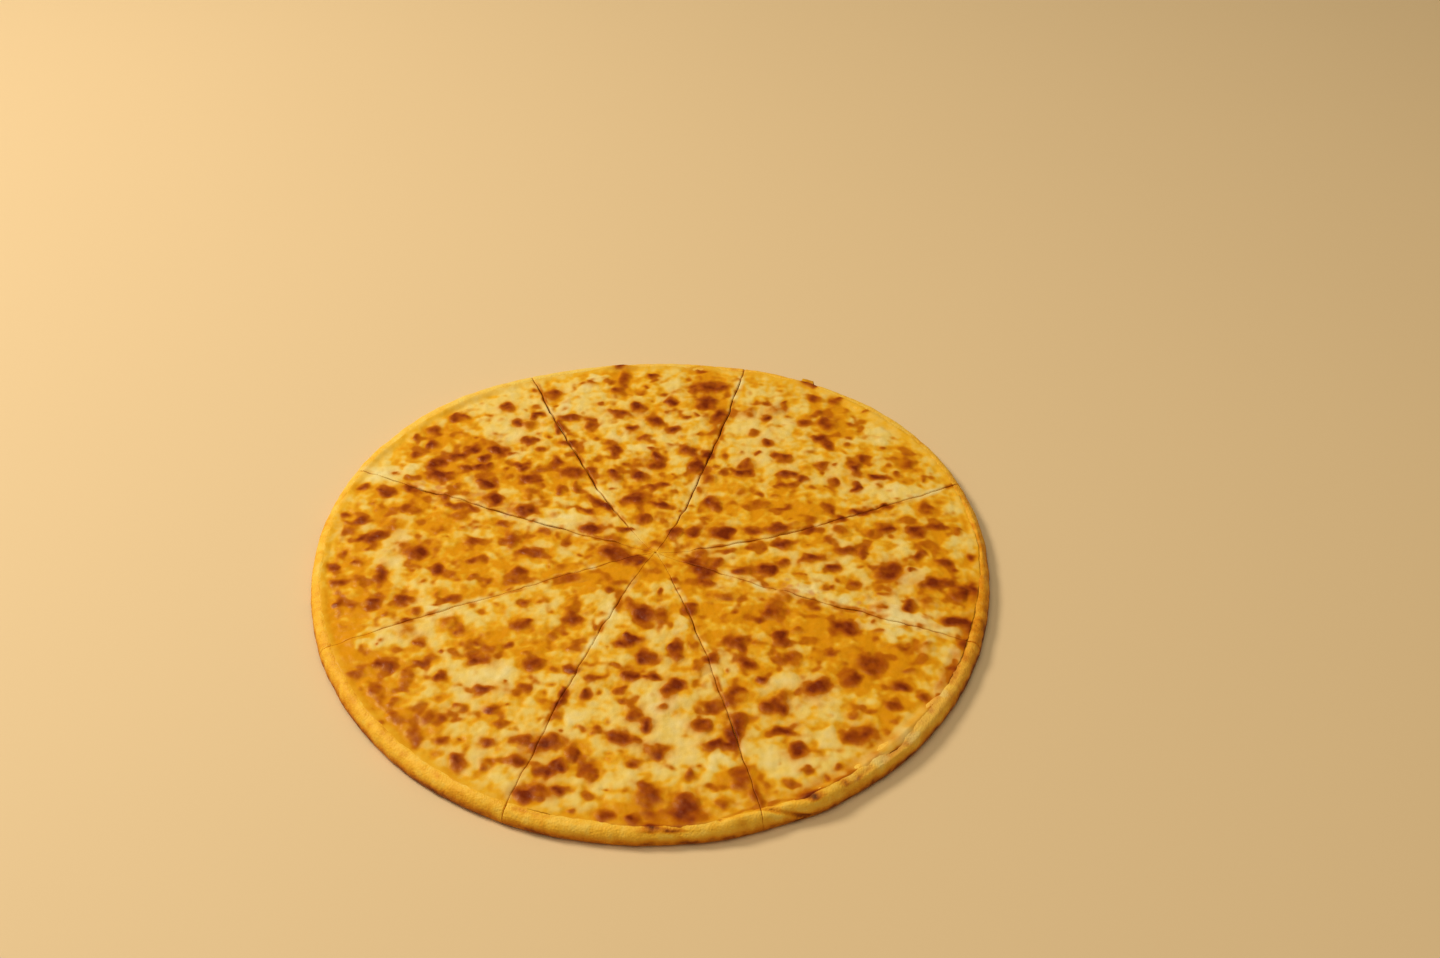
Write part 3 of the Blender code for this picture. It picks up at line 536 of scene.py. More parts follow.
def acrossSlice(strip, radius, roundness, wave):
    # Direction of each point, how far down its edge it is, and its distance from the nearer cut
    index, column, columns = strip
    steps = edgeRound["steps"]
    start, end = sliceSides(index, radius)
    width = (end - start) * radius
    turn = np.minimum(roundness, 0.2 * width)
    side = np.minimum(column, columns - column)
    share = (side - steps) / (columns - 2 * steps)
    near = np.minimum(side, steps)
    away = np.where(side <= steps, edgeRound["inset"][near] * turn, turn + share * (width - 2 * turn))
    away = away + wave * (1 - smooth(away / (3 * roundness)))
    distance = np.where(column > columns / 2, width - away, away)
    return start + distance / radius, edgeRound["drop"][near], away


def paint(model, brown, oil, pale, pink):    # what the material reads at each point
    layer = model.verts.layers.float_color.new("bake")
    for vert, value in zip(model.verts, np.column_stack((brown, oil, pale, pink)).tolist()):
        vert[layer] = value


def closeBelow(model):    # one face with a sharp edge closes the flat underside
    edges = [edge for edge in model.edges if edge.is_boundary]
    for edge in edges:
        edge.smooth = False
    bmesh.ops.holes_fill(model, edges=edges)


def addToScene(name, data):
    thing = bpy.data.objects.new(name, data)
    bpy.context.scene.collection.objects.link(thing)
    return thing


def finishPiece(model, name, material, node):
    mesh = bpy.data.meshes.new(name)
    bmesh.ops.recalc_face_normals(model, faces=model.faces)
    model.to_mesh(mesh)
    model.free()
    mesh.shade_smooth()
    mesh.materials.append(material)
    piece = addToScene(name, mesh)
    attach(piece, "root")
    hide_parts(node)


# Materials

def srgb(red, green, blue):
    def linear(value):
        value = value / 255
        return value / 12.92 if value <= 0.04045 else ((value + 0.055) / 1.055) ** 2.4
    return (linear(red), linear(green), linear(blue), 1.0)


def addNode(tree, kind, **values):    # the nodes stand in three rows, in the order they are made
    node = tree.nodes.new(kind)
    node.location = (130 * len(tree.nodes) - 2000, 260 * (len(tree.nodes) % 3))
    for name, value in values.items():
        setattr(node, name, value)
    return node


def setInputs(node, values):
    for name, value in values.items():
        node.inputs[name].default_value = value


def newMaterial(name, values):
    made = bpy.data.materials.new(name)
    made.use_nodes = True
    shader = made.node_tree.nodes["Principled BSDF"]
    setInputs(shader, values)
    return made, made.node_tree, shader


def feed(tree, sockets, values):    # links the sources and sets the plain values
    for socket, value in zip(sockets, values):
        if isinstance(value, (int, float, tuple)):
            socket.default_value = value
        else:
            tree.links.new(value, socket)


def mathNode(tree, operation, values, clamp=False):
    node = addNode(tree, "ShaderNodeMath", operation=operation, use_clamp=clamp)
    feed(tree, node.inputs, values)
    return node.outputs[0]


def mixNode(tree, factor, first, second):
    node = addNode(tree, "ShaderNodeMix", data_type="RGBA")
    feed(tree, (node.inputs[0], node.inputs[6], node.inputs[7]), (factor, first, second))
    return node.outputs[2]


def rampNode(tree, factor, stops):
    node = addNode(tree, "ShaderNodeValToRGB")
    elements = node.color_ramp.elements
    while len(elements) < len(stops):
        elements.new(0.5)
    for element, (position, colour) in zip(elements, stops):
        element.position = position
        element.color = colour
    tree.links.new(factor, node.inputs[0])
    return node.outputs[0]


def makeGrainGroup():    # breaks up colour and gives small relief
    group = bpy.data.node_groups.new("bakedGrain", "ShaderNodeTree")
    for label in ("Scale", "Fine Scale", "Pitting"):
        group.interface.new_socket(label, in_out="INPUT", socket_type="NodeSocketFloat")
    for label in ("Mottle", "Relief"):
        group.interface.new_socket(label, in_out="OUTPUT", socket_type="NodeSocketFloat")
    inside = addNode(group, "NodeGroupInput")
    outside = addNode(group, "NodeGroupOutput")
    coordinates = addNode(group, "ShaderNodeTexCoord")
    broad = addNode(group, "ShaderNodeTexNoise")
    fine = addNode(group, "ShaderNodeTexNoise")
    pits = addNode(group, "ShaderNodeTexVoronoi")
    for node, scale in ((broad, "Scale"), (fine, "Fine Scale"), (pits, "Fine Scale")):
        group.links.new(coordinates.outputs["Object"], node.inputs["Vector"])
        group.links.new(inside.outputs[scale], node.inputs["Scale"])
    for node in (broad, fine):
        setInputs(node, {"Detail": 3.0})
    spread = mathNode(group, "MULTIPLY_ADD", (broad.outputs["Fac"], 2.2, -0.6), clamp=True)
    pitted = mathNode(group, "MULTIPLY", (pits.outputs["Distance"], inside.outputs["Pitting"]))
    relief = mathNode(group, "ADD", (fine.outputs["Fac"], pitted))
    group.links.new(spread, outside.inputs["Mottle"])
    group.links.new(relief, outside.inputs["Relief"])
    return group


grainGroup = makeGrainGroup()


def addGrain(tree, shader, look):    # the shared grain, and its relief as the material's bump
    grain = addNode(tree, "ShaderNodeGroup", node_tree=grainGroup)
    setInputs(grain, look["grain"])
    bump = addNode(tree, "ShaderNodeBump")
    setInputs(bump, look["bump"])
    tree.links.new(grain.outputs["Relief"], bump.inputs["Height"])
    tree.links.new(bump.outputs["Normal"], shader.inputs["Normal"])
    return grain.outputs["Mottle"]


def addBake(tree):    # the piece's own attribute: its four values
    bake = addNode(tree, "ShaderNodeAttribute", attribute_name="bake")
    parts = addNode(tree, "ShaderNodeSeparateColor")
    tree.links.new(bake.outputs["Color"], parts.inputs[0])
    return [parts.outputs[name] for name in ("Red", "Green", "Blue")] + [bake.outputs["Alpha"]]


cheeseLook = {
    "oilColours": (
        (0.05, srgb(238, 206, 118)), (0.55, srgb(236, 180, 46)), (0.95, srgb(224, 150, 8)),
    ),
    "brownColours": (
        (0.18, srgb(217, 141, 6)), (0.38, srgb(196, 114, 0)), (0.62, srgb(164, 77, 0)), (0.90, srgb(122, 41, 0)),
    ),
    "pale": srgb(240, 222, 170), "pink": srgb(212, 144, 92),
    "grain": {"Scale": 330.0, "Fine Scale": 1100.0, "Pitting": 0.35},    # scales are per metre
    "bump": {"Strength": 0.30, "Distance": 0.0002},
}


def makeCheeseMaterial():
    made, tree, shader = newMaterial("meltedCheese", {"Roughness": 0.42, "Specular IOR Level": 0.15})
    red, green, blue, alpha = addBake(tree)
    mottle = addGrain(tree, shader, cheeseLook)
    wander = mathNode(tree, "MULTIPLY_ADD", (mottle, 0.20, -0.10))
    oil = mathNode(tree, "ADD", (green, wander), clamp=True)
    base = rampNode(tree, oil, cheeseLook["oilColours"])
    pale = mathNode(tree, "MULTIPLY", (blue, 0.9))
    base = mixNode(tree, pale, base, cheeseLook["pale"])
    base = mixNode(tree, alpha, base, cheeseLook["pink"])
    wanderBrown = mathNode(tree, "MULTIPLY", (wander, red))
    browned = mathNode(tree, "ADD", (red, wanderBrown), clamp=True)
    crisp = rampNode(tree, browned, cheeseLook["brownColours"])
    cover = mathNode(tree, "MULTIPLY_ADD", (browned, 2.7, -0.06), clamp=True)
    tree.links.new(mixNode(tree, cover, base, crisp), shader.inputs["Base Color"])
    gloss = mathNode(tree, "MULTIPLY_ADD", (oil, -0.10, 0.47), clamp=True)
    tree.links.new(gloss, shader.inputs["Roughness"])
    return made


crustLook = {
    "colours": (
        (0.0, srgb(246, 210, 104)), (0.30, srgb(248, 190, 58)), (0.62, srgb(222, 140, 6)),
        (0.85, srgb(164, 84, 0)), (1.0, srgb(104, 46, 0)),
    ),
    "flour": srgb(240, 212, 140),
    "grain": {"Scale": 260.0, "Fine Scale": 1100.0, "Pitting": 0.6},
    "bump": {"Strength": 0.5, "Distance": 0.0005},
}


def makeCrustMaterial():
    made, tree, shader = newMaterial("bakedCrust", {"Roughness": 0.62, "Specular IOR Level": 0.22})
    red, green, blue, _ = addBake(tree)
    wander = mathNode(tree, "MULTIPLY_ADD", (addGrain(tree, shader, crustLook), 0.30, -0.15))
    browned = mathNode(tree, "ADD", (red, wander), clamp=True)
    base = rampNode(tree, browned, crustLook["colours"])
    tree.links.new(mixNode(tree, blue, base, crustLook["flour"]), shader.inputs["Base Color"])
    dry = mathNode(tree, "MULTIPLY_ADD", (green, -0.26, 0.68))
    tree.links.new(dry, shader.inputs["Roughness"])
    return made


fillingLook = {
    "colours": ((0.1, srgb(112, 46, 16)), (0.5, srgb(158, 82, 36)), (0.9, srgb(196, 124, 72))),
    "grain": {"Scale": 420.0, "Fine Scale": 1400.0, "Pitting": 0.5},
    "bump": {"Strength": 0.5, "Distance": 0.0005},
}


def makeFillingMaterial():
    made, tree, shader = newMaterial("glossyFilling", {"Roughness": 0.32})
    mottle = addGrain(tree, shader, fillingLook)
    base = rampNode(tree, mottle, fillingLook["colours"])
    tree.links.new(base, shader.inputs["Base Color"])
    return made


# Creases in the rim, shared by the crust and the cheese on it

crustPiece = {
    "columns": 132, "bedRows": 12, "slopeRows": 5, "rimRows": 46,
    "roundness": 0.0006,
    "stepPlaces": (-60.0, -7.8, -4.3, -2.3, -0.8, -0.1, 0.0),    # millimetres out from the outline
    "steps": (-26, 2, 3, 4, 5, 6, 7),    # the rim section's steps there
    "stepLength": 2.0,    # millimetres along the section for each step
    "creases": (    # direction and step of each point of a crease, then its half width and depth in millimetres
        ((287.6, 2.3), (289.2, 3.1), (291.0, 4.3), (293.0, 5.7), (294.8, 7.0), 1.0, 0.80),
        ((281.6, 3.1), (284.0, 2.5), (285.5, 2.2), (287.6, 2.3), 0.9, 0.40),
        ((289.5, 2.2), (291.1, 2.3), (293.5, 2.9), (296.0, 3.9), 0.9, 0.40),
        ((283.0, 3.6), (286.0, 3.2), (288.6, 4.0), 1.7, -0.45),
        ((291.5, 3.2), (295.0, 4.2), (299.0, 4.6), 1.6, -0.35),
        ((334.0, 1.9), (332.0, 2.5), (329.0, 2.7), 1.3, 0.34),
        ((325.5, 2.6), (323.5, 2.9), (321.5, 3.3), 1.3, 0.38),
        ((316.0, 3.7), (314.5, 4.0), (312.3, 3.6), (308.7, 3.9), 1.2, 0.42),
        ((306.5, 3.7), (304.0, 4.0), 0.9, 0.3),
        ((243.0, 3.3), (235.0, 3.7), (228.0, 3.6), 1.2, 0.14),
        ((262.0, 3.3), (256.0, 3.1), (251.0, 3.4), 1.1, 0.18),
        ((270.0, 4.6), (279.0, 4.6), 1.0, 0.12),
    ),
    "baseInset": (0.0, 0.0006, 0.0018, 0.0034),    # how the side curls in to the underside
    "baseShare": (0.28, 0.08, 0.0, 0.0, 0.0),    # and its height there, as a share of the crest's
    "lumps": (    # size, length, seed, then metres for each step of the section
        (0.00030, 0.0090, 61, 0.0022), (0.00014, 0.0036, 62, 0.0016), (0.00005, 0.0014, 63, 0.0012),
    ),
    "brownStart": 0.20, "browner": ((0.14, 0.016, 64, 0.004), (0.10, 0.0060, 65, 0.003)),
    "sideBrownAndShade": 0.52, "sideTop": 0.0064, "sideRun": 0.0044,    # the side is browner low down, and carries painted shade there
    # painted shade in the creases of the rim: its strength, and the crease depth at which it is full
    "creaseShade": 0.34, "creaseFull": 0.0005,
    "leopard": ((1.0, 0.0090, 66), (0.5, 0.0040, 67)), "underBrown": (0.32, 0.42),    # browned patches underneath
    "spotShare": 0.95, "paleShare": 0.8, "oiled": 0.75, "closing": (0.55, 0.42),
    "zones": (    # direction, half width, browner, drier or more floury; the browner zones from 300 to 5 degrees are partly painted shade where the rim faces away from the light
        (185, 30, 0.05, 0.0), (222, 18, 0.08, 0.0), (250, 14, 0.06, 0.0), (274, 12, 0.04, 0.0),
        (120, 22, -0.14, 0.10), (318, 14, 0.10, 0.28), (338, 8, 0.14, 0.0), (5, 22, 0.32, 0.0),
        (40, 12, -0.02, 0.05), (75, 22, 0.12, 0.0), (300, 9, 0.08, 0.0), (98, 20, -0.10, 0.22),
        (332, 12, 0.08, 0.0), (346, 10, 0.16, 0.0), (205, 22, 0.10, 0.0), (85, 22, 0.10, 0.0),
    ),
}


def rimStep(angle, radius):    # which step of the rim's section lies at a radius
    return np.interp(-(alongRim("outer", angle) - radius) / mm, crustPiece["stepPlaces"], crustPiece["steps"])


def creaseDepth(angle, step):
    depth = np.zeros_like(angle)
    radius, stepLength = form["radius"], crustPiece["stepLength"] * mm
    along, down = np.mod(angle, 2 * pi) * radius, step * stepLength
    for *points, half, deep in crustPiece["creases"]:
        away = np.full_like(angle, 1.0)
        for (turnA, stepA), (turnB, stepB) in zip(points, points[1:]):
            runAlong, runDown = radians(turnB - turnA) * radius, (stepB - stepA) * stepLength
            fromAlong, fromDown = along - radians(turnA) * radius, down - stepA * stepLength
            share = (fromAlong * runAlong + fromDown * runDown) / (runAlong ** 2 + runDown ** 2)
            share = np.clip(share, 0, 1)
            away = np.minimum(away, np.hypot(fromAlong - share * runAlong, fromDown - share * runDown))
        depth += deep * mm * np.exp(-(away / (half * mm)) ** 2)
    return depth


# The cheese of each slice: one dense sheet that rounds down at the cuts and runs thin on to the rim

cheesePiece = {
    "columns": 226, "rows": 330,
    "roundness": 0.0009, "tipRound": 0.0009,
    "bareRim": (    # direction, millimetres of crust left bare outside the cheese
        (0, 4.2), (12, 4.4), (25, 3.6), (45, 3.2), (75, 3.8), (100, 3.6), (120, 4.4), (140, 5.0), (155, 3.6),
        (175, 3.6), (200, 4.0), (220, 4.4), (232, 4.6), (245, 3.8), (258, 5.4), (265, 5.0), (271, 2.8), (278, 2.9),
        (283, 4.0), (288, 4.6), (294, 4.0), (299, 2.8), (308, 3.6), (314, 3.6), (323, 5.0), (332, 6.0), (345, 6.0),
    ),
    "bareWander": 0.7, "wanderRipples": ((1.0, 0.0110, 31), (0.4, 0.0026, 32)),
    "laps": ((99.7, 2.2, 4.0), (82.5, 2.2, 3.6), (60.1, 2.6, 3.6)),    # direction, half width, mm further out
    "rimBrownAndShade": (    # direction, how browned the cheese is at the rim, with painted shade towards the front right
        (0, 0.06), (25, 0.0), (180, 0.0), (240, 0.04), (265, 0.08), (285, 0.08), (296, 0.20), (303, 0.30),
        (311, 0.16), (320, 0.18), (329, 0.26), (340, 0.20), (350, 0.12),
    ),
    "rimOil": (    # direction, how golden it is there
        (0, 0.65), (45, 0.50), (80, 0.60), (120, 0.35), (150, 0.45), (185, 0.55), (230, 0.62), (262, 0.60),
        (290, 0.62), (303, 0.40), (312, 0.10), (325, 0.15), (336, 0.55), (345, 0.70),
    ),
    "healed": (0.0, 0.0, 0.0, 0.6, 1.0, 0.2, 0.9, 0.3),    # how far each cut has melted shut near the rim
    "closing": (0.60, 0.54, 0.44, 0.74, 0.92, 1.00, 0.84, 0.84),    # and along the rest of its length
    "healedGap": 0.97,    # share of its opening that a healed cut loses
    "closingRipples": ((0.45, 0.0110, 42, 0.071),), "edgeWave": ((0.00016, 0.0030, 41, 0.037),),
    "baked": ((1.0, 0.0110, 44), (0.5, 0.0045, 43)),    # stretches of the cut edges: painted shade where above 0, painted highlight where below 0, and the tint of the cut walls
    "tuckRadius": np.array((0.0, 0.12, 0.55, 1.0)),    # the last rows turn back under the thin edge
    "tuckDepth": np.array((0.0, 0.0003, 0.0003, 0.0)),
    "thin": 0.00050, "dive": 0.00040, "soft": 0.00025, "dentShare": 0.9, "reliefShare": 0.5,
    "comesIn": {"dent": 0.003, "thin": 0.0030, "dive": 0.0014, "relief": 0.004},    # metres in from the edge
    "lipStart": 0.0003, "lipRun": 0.0022, "lipShade": 0.42, "lipLift": 0.35,    # the edge along a cut, with painted shade in stretches
    # painted shade where the cheese lies in a crease of the rim, and the brown tint of the cut walls, painted shade
    # of the gaps
    "dentShade": 0.34, "dentFull": 0.0004, "sideBrownAndShade": (0.30, 0.36), "sideLimits": (0.04, 0.62),
}


def alongTable(name, angle):    # a list of directions and values, read round the rim
    directions, values = zip(*cheesePiece[name])
    return np.interp(np.degrees(angle), directions, values, period=360)


def cheeseEdge(angle):
    wander = rippleSum(angle * form["radius"], 0 * angle, cheesePiece["wanderRipples"])
    bare = alongTable("bareRim", angle) + cheesePiece["bareWander"] * wander
    for direction, half, further in cheesePiece["laps"]:
        bare = bare - further * pullAt(angle, direction, half)
    return alongRim("outer", angle) - np.maximum(bare, 0.3) * mm


def healedShare(strip, radius):    # 1 where the nearer cut has melted together again
    nearRim = nearerCut(cheesePiece["healed"], strip) * smooth((radius - 0.118) / 0.012)
    return np.maximum(1 - smooth((radius - 0.014) / 0.016), nearRim)


def cheeseRadii(strip, row):    # each point's radius, that of the cheese's edge and the row's step back under it
    rows, steps, turned = cheesePiece["rows"], edgeRound["steps"], len(cheesePiece["tuckRadius"]) - 1
    straight = straightAcross(strip)
    outer = cheeseEdge(straight)
    tip, tipRound = form["tipRadius"], cheesePiece["tipRound"]
    inward = edgeRound["inset"][np.minimum(row, steps)] * tipRound
    share = np.clip((row - steps) / (rows - turned - steps), 0.0, 1.0)
    radius = np.where(row < steps, tip + inward, tip + tipRound + (outer - tip - tipRound) * share)
    tucked = np.clip(row - (rows - turned), 0, turned)
    rim, width = alongRim("outer", straight), alongRim("width", straight)
    floorEdge = rim - (width + form["slopeRun"]) * 0.5 - 0.43 * width - 0.0005
    back = (np.minimum(floorEdge, outer - 0.0004) - outer) * cheesePiece["tuckRadius"][tucked]
    return np.where(tucked > 0, outer + back, radius), outer, tucked


def makeCheese(index, material):
    model, strip, row = sheet(index, cheesePiece["columns"], cheesePiece["rows"])
    radius, outer, tucked = cheeseRadii(strip, row)
    closing, seed = nearerCut(cheesePiece["closing"], strip), edgeSeed(strip)
    closing = rippleSum(radius, seed, cheesePiece["closingRipples"], closing)
    healed = healedShare(strip, radius)
    closing = np.maximum(np.clip(closing, 0.0, 1.0), cheesePiece["healedGap"] * healed)
    wave = rippleSum(radius, seed, cheesePiece["edgeWave"]) * (1 - closing)
    wave = wave - closing * halfGap(strip, radius)
    angle, drop, away = acrossSlice(strip, radius, cheesePiece["roundness"] * (1 - 0.75 * healed), wave)
    x, y = spot(angle, radius)

    floor = form["cheeseFloor"]
    rim, width = alongRim("outer", angle), alongRim("width", angle)
    dent = creaseDepth(angle, rimStep(angle, radius))
    inside = {name: smooth((outer - radius) / run) for name, run in cheesePiece["comesIn"].items()}
    crust = rimHeightAt(angle, radius) - cheesePiece["dentShare"] * dent * inside["dent"]
    top = onMap("height", x, y)
    thin = cheesePiece["thin"] * inside["thin"] - cheesePiece["dive"] * (1 - inside["dive"])
    onCrust = crust + thin + cheesePiece["reliefShare"] * (top - form["cheeseTop"]) * inside["relief"]
    soft = cheesePiece["soft"]    # the top runs smoothly on to the rim
    beyond = smooth((radius - rim + 0.80 * width) / (0.50 * width))
    flowing = onCrust + soft * np.log1p(np.exp(np.clip((top - onCrust) / soft, -30, 30))) * (1 - beyond)
    height = np.where(crust > form["bedHeight"] + 0.0001, flowing, top)
    height = np.where(tucked > 0, crust - cheesePiece["tuckDepth"][tucked], height)
    height = np.where(row == cheesePiece["rows"], floor, np.maximum(height, floor))
    sag = np.maximum(drop, edgeRound["drop"][np.minimum(row, edgeRound["steps"])])
    place(model, angle, radius, height - sag * (height - floor))

    lip = (1 - smooth((away - cheesePiece["lipStart"]) / cheesePiece["lipRun"])) * (1 - healed)
    onRim = smooth((radius - (rim - 1.15 * width)) / 0.004)
    baked = rippleSum(x, y, cheesePiece["baked"])
    side = smooth(sag * 1.6)
    # Darker stretches along the cut edges are painted shade of the cut lines.
    lipShade = cheesePiece["lipShade"] * lip * smooth(baked + cheesePiece["lipLift"])
    brown = np.maximum(onMap("brown", x, y), lipShade)
    # Painted shade in the creases of the rim.
    brown = np.maximum(brown, cheesePiece["dentShade"] * smooth(dent / cheesePiece["dentFull"]))
    # Browner cheese at the rim, partly painted shade where the rim faces away from the light towards the front
    # right.
    rimBrownAndShade = alongTable("rimBrownAndShade", angle) * smooth((radius - rim + 0.014) / 0.006)
    brown = 1 - (1 - brown) * (1 - rimBrownAndShade * (1 + 0.7 * ripples(x, y, 0.0060, 47)))
    # The cut walls take a brown tint: painted shade of the narrow gaps between the slices.
    start, gain = cheesePiece["sideBrownAndShade"]
    brown = brown * (1 - side) + side * np.clip(start + gain * baked, *cheesePiece["sideLimits"])
    oil = onMap("oil", x, y) * (1 - 0.5 * lip) * (1 - 0.7 * onRim) + 0.7 * alongTable("rimOil", angle) * onRim
    # Paler stretches along the cut edges are a painted highlight on the rounded edges.
    pale = np.maximum(onMap("pale", x, y), lip * smooth(-1.6 * baked)) * (1 - 0.5 * onRim)
    paint(model, brown, oil, np.clip(pale, 0, 1) * (1 - brown), onMap("pink", x, y))
    closeBelow(model)
    finishPiece(model, f"melted_cheese_{index + 1}", material, f"slice_{index + 1}_cheese")


# The filling: a low lumpy layer that shows only in the open cuts

fillingPiece = {
    "columns": 70, "rows": 96, "roundness": 0.0005, "gapToSlope": 0.0003,
    "closing": 0.86, "closingRipples": ((0.20, 0.0028, 51, 0.053),), "lumps": ((0.00018, 0.0035, 52),),
}


def makeFilling(index, material):
    rows, steps, rounding = fillingPiece["rows"], edgeRound["steps"], fillingPiece["roundness"]
    model, strip, row = sheet(index, fillingPiece["columns"], rows)
    straight = straightAcross(strip)
    outer = alongRim("outer", straight) - alongRim("width", straight) - form["slopeRun"]
    outer = outer - fillingPiece["gapToSlope"]
    tip = form["tipRadius"]
    near = np.minimum(np.minimum(row, rows - row), steps)
    inward = edgeRound["inset"][near] * rounding
    share = np.clip((row - steps) / (rows - 2 * steps), 0.0, 1.0)
    inner = tip + rounding
    radius = np.where(row < steps, tip + inward, inner + (outer - rounding - inner) * share)
    radius = np.where(rows - row < steps, outer - inward, radius)
    closing = rippleSum(radius, edgeSeed(strip), fillingPiece["closingRipples"], fillingPiece["closing"])
    wave = -np.clip(closing, 0.0, 0.97) * halfGap(strip, radius)
    angle, drop, _ = acrossSlice(strip, radius, rounding, wave)
    x, y = spot(angle, radius)
    top = rippleSum(x, y, fillingPiece["lumps"], form["fillingTop"])
    sag = np.maximum(drop, edgeRound["drop"][near])
    place(model, angle, radius, top - sag * (top - form["fillingFloor"]))
    closeBelow(model)
    finishPiece(model, f"filling_{index + 1}", material, f"slice_{index + 1}_filling")


# The crust: bed, rim and underside as one closed skin that is zipped up along the cuts and the tip

def curveThrough(controls, step):    # a smooth curve through each point's own controls
    last = len(controls) - 1
    first = np.clip(np.floor(step).astype(int), 0, last - 1)
    share = step - first
    point = np.arange(controls.shape[1])
    a, b, c, d = (controls[np.clip(first + offset, 0, last), point] for offset in (-1, 0, 1, 2))
    return b + 0.5 * share * (c - a + share * (2 * a - 5 * b + 4 * c - d + share * (3 * (b - c) + d - a)))


def crustProfile(angle, step, below):
    # Step 0 is the tip, 1 the foot of the slope, 2 its top, and 7 the widest point
    radii, heights = rimControls(angle)
    outer, width, crest = (alongRim(name, angle) for name in ("outer", "width", "crest"))
    tip = form["tipRadius"]
    bed = tip + (radii[0] - tip) * np.clip(step, 0, 1)
    slope = radii[0] + (radii[1] - radii[0]) * np.clip(step - 1, 0, 1)
    rise = form["bedHeight"] + (form["slopeTop"] - form["bedHeight"]) * smooth(step - 1)
    onRim = np.clip(step - 2, 0, 5)
    topRadius = np.where(step <= 1, bed, np.where(step <= 2, slope, curveThrough(radii[1:], onRim)))
    topHeight = np.where(step <= 2, rise, curveThrough(heights[1:], onRim))
    inner = outer - form["innerEdge"] * width
    baseRadii = np.array([outer - inset for inset in crustPiece["baseInset"]] + [inner])
    baseHeights = np.array([share * crest for share in crustPiece["baseShare"]])
    lowRadius = np.where(step <= 2, topRadius, curveThrough(baseRadii, (5 - onRim) * 0.8))
    lowHeight = np.where(step <= 2, 0.0, np.maximum(curveThrough(baseHeights, (5 - onRim) * 0.8), 0.0))
    return np.where(below, lowRadius, topRadius), np.where(below, lowHeight, topHeight)


def paintCrust(model, angle, radius, height, step, below):
    x, y = spot(angle, radius)
    arc = angle * form["radius"]
    brown = np.full(len(x), crustPiece["brownStart"])
    flour = np.zeros(len(x))
    # The zones towards the right and front right are browner partly as painted shade.
    for direction, half, browner, drier in crustPiece["zones"]:
        pull = pullAt(angle, direction, half)
        brown = brown + browner * pull
        flour = flour + drier * pull
    brown = rippleSum(arc, step, crustPiece["browner"], brown)
    # The rim's side is darker low down: browner crust plus painted shade where the side turns away from the light.
    low = smooth((crustPiece["sideTop"] - height) / crustPiece["sideRun"])
    brown = brown + crustPiece["sideBrownAndShade"] * low * smooth((step - 3.6) / 1.2)
    # Painted shade darkens the crust in the creases.
    brown = brown + crustPiece["creaseShade"] * smooth(creaseDepth(angle, step) / crustPiece["creaseFull"])
    under = smooth((0.0006 - height) / 0.0005) * below
    leopard = smooth((rippleSum(x, y, crustPiece["leopard"]) - 0.05) / 0.5)
    start, gain = crustPiece["underBrown"]
    brown = brown * (1 - under) + under * (start + gain * leopard)
    brownSpots = crustPiece["spotShare"] * onMap("brown", x, y) * (1 - under) * smooth(step - 2) * smooth(5.0 - step)
    paleSpots = crustPiece["paleShare"] * onMap("pale", x, y) * smooth(5.0 - step) * smooth(height / 0.004)
    flour = np.maximum(flour * smooth((5.2 - step) / 1.6), paleSpots)
    flour = flour * (1 - under) + under * 0.25 * smooth(ripples(x, y, 0.014, 68) + 0.3)
    oily = crustPiece["oiled"] * smooth((5.5 - step) / 2.5) * (1 - under)
    paint(model, np.clip(np.maximum(brown, brownSpots), 0, 1), oily, np.clip(flour, 0, 0.8), 0 * brown)


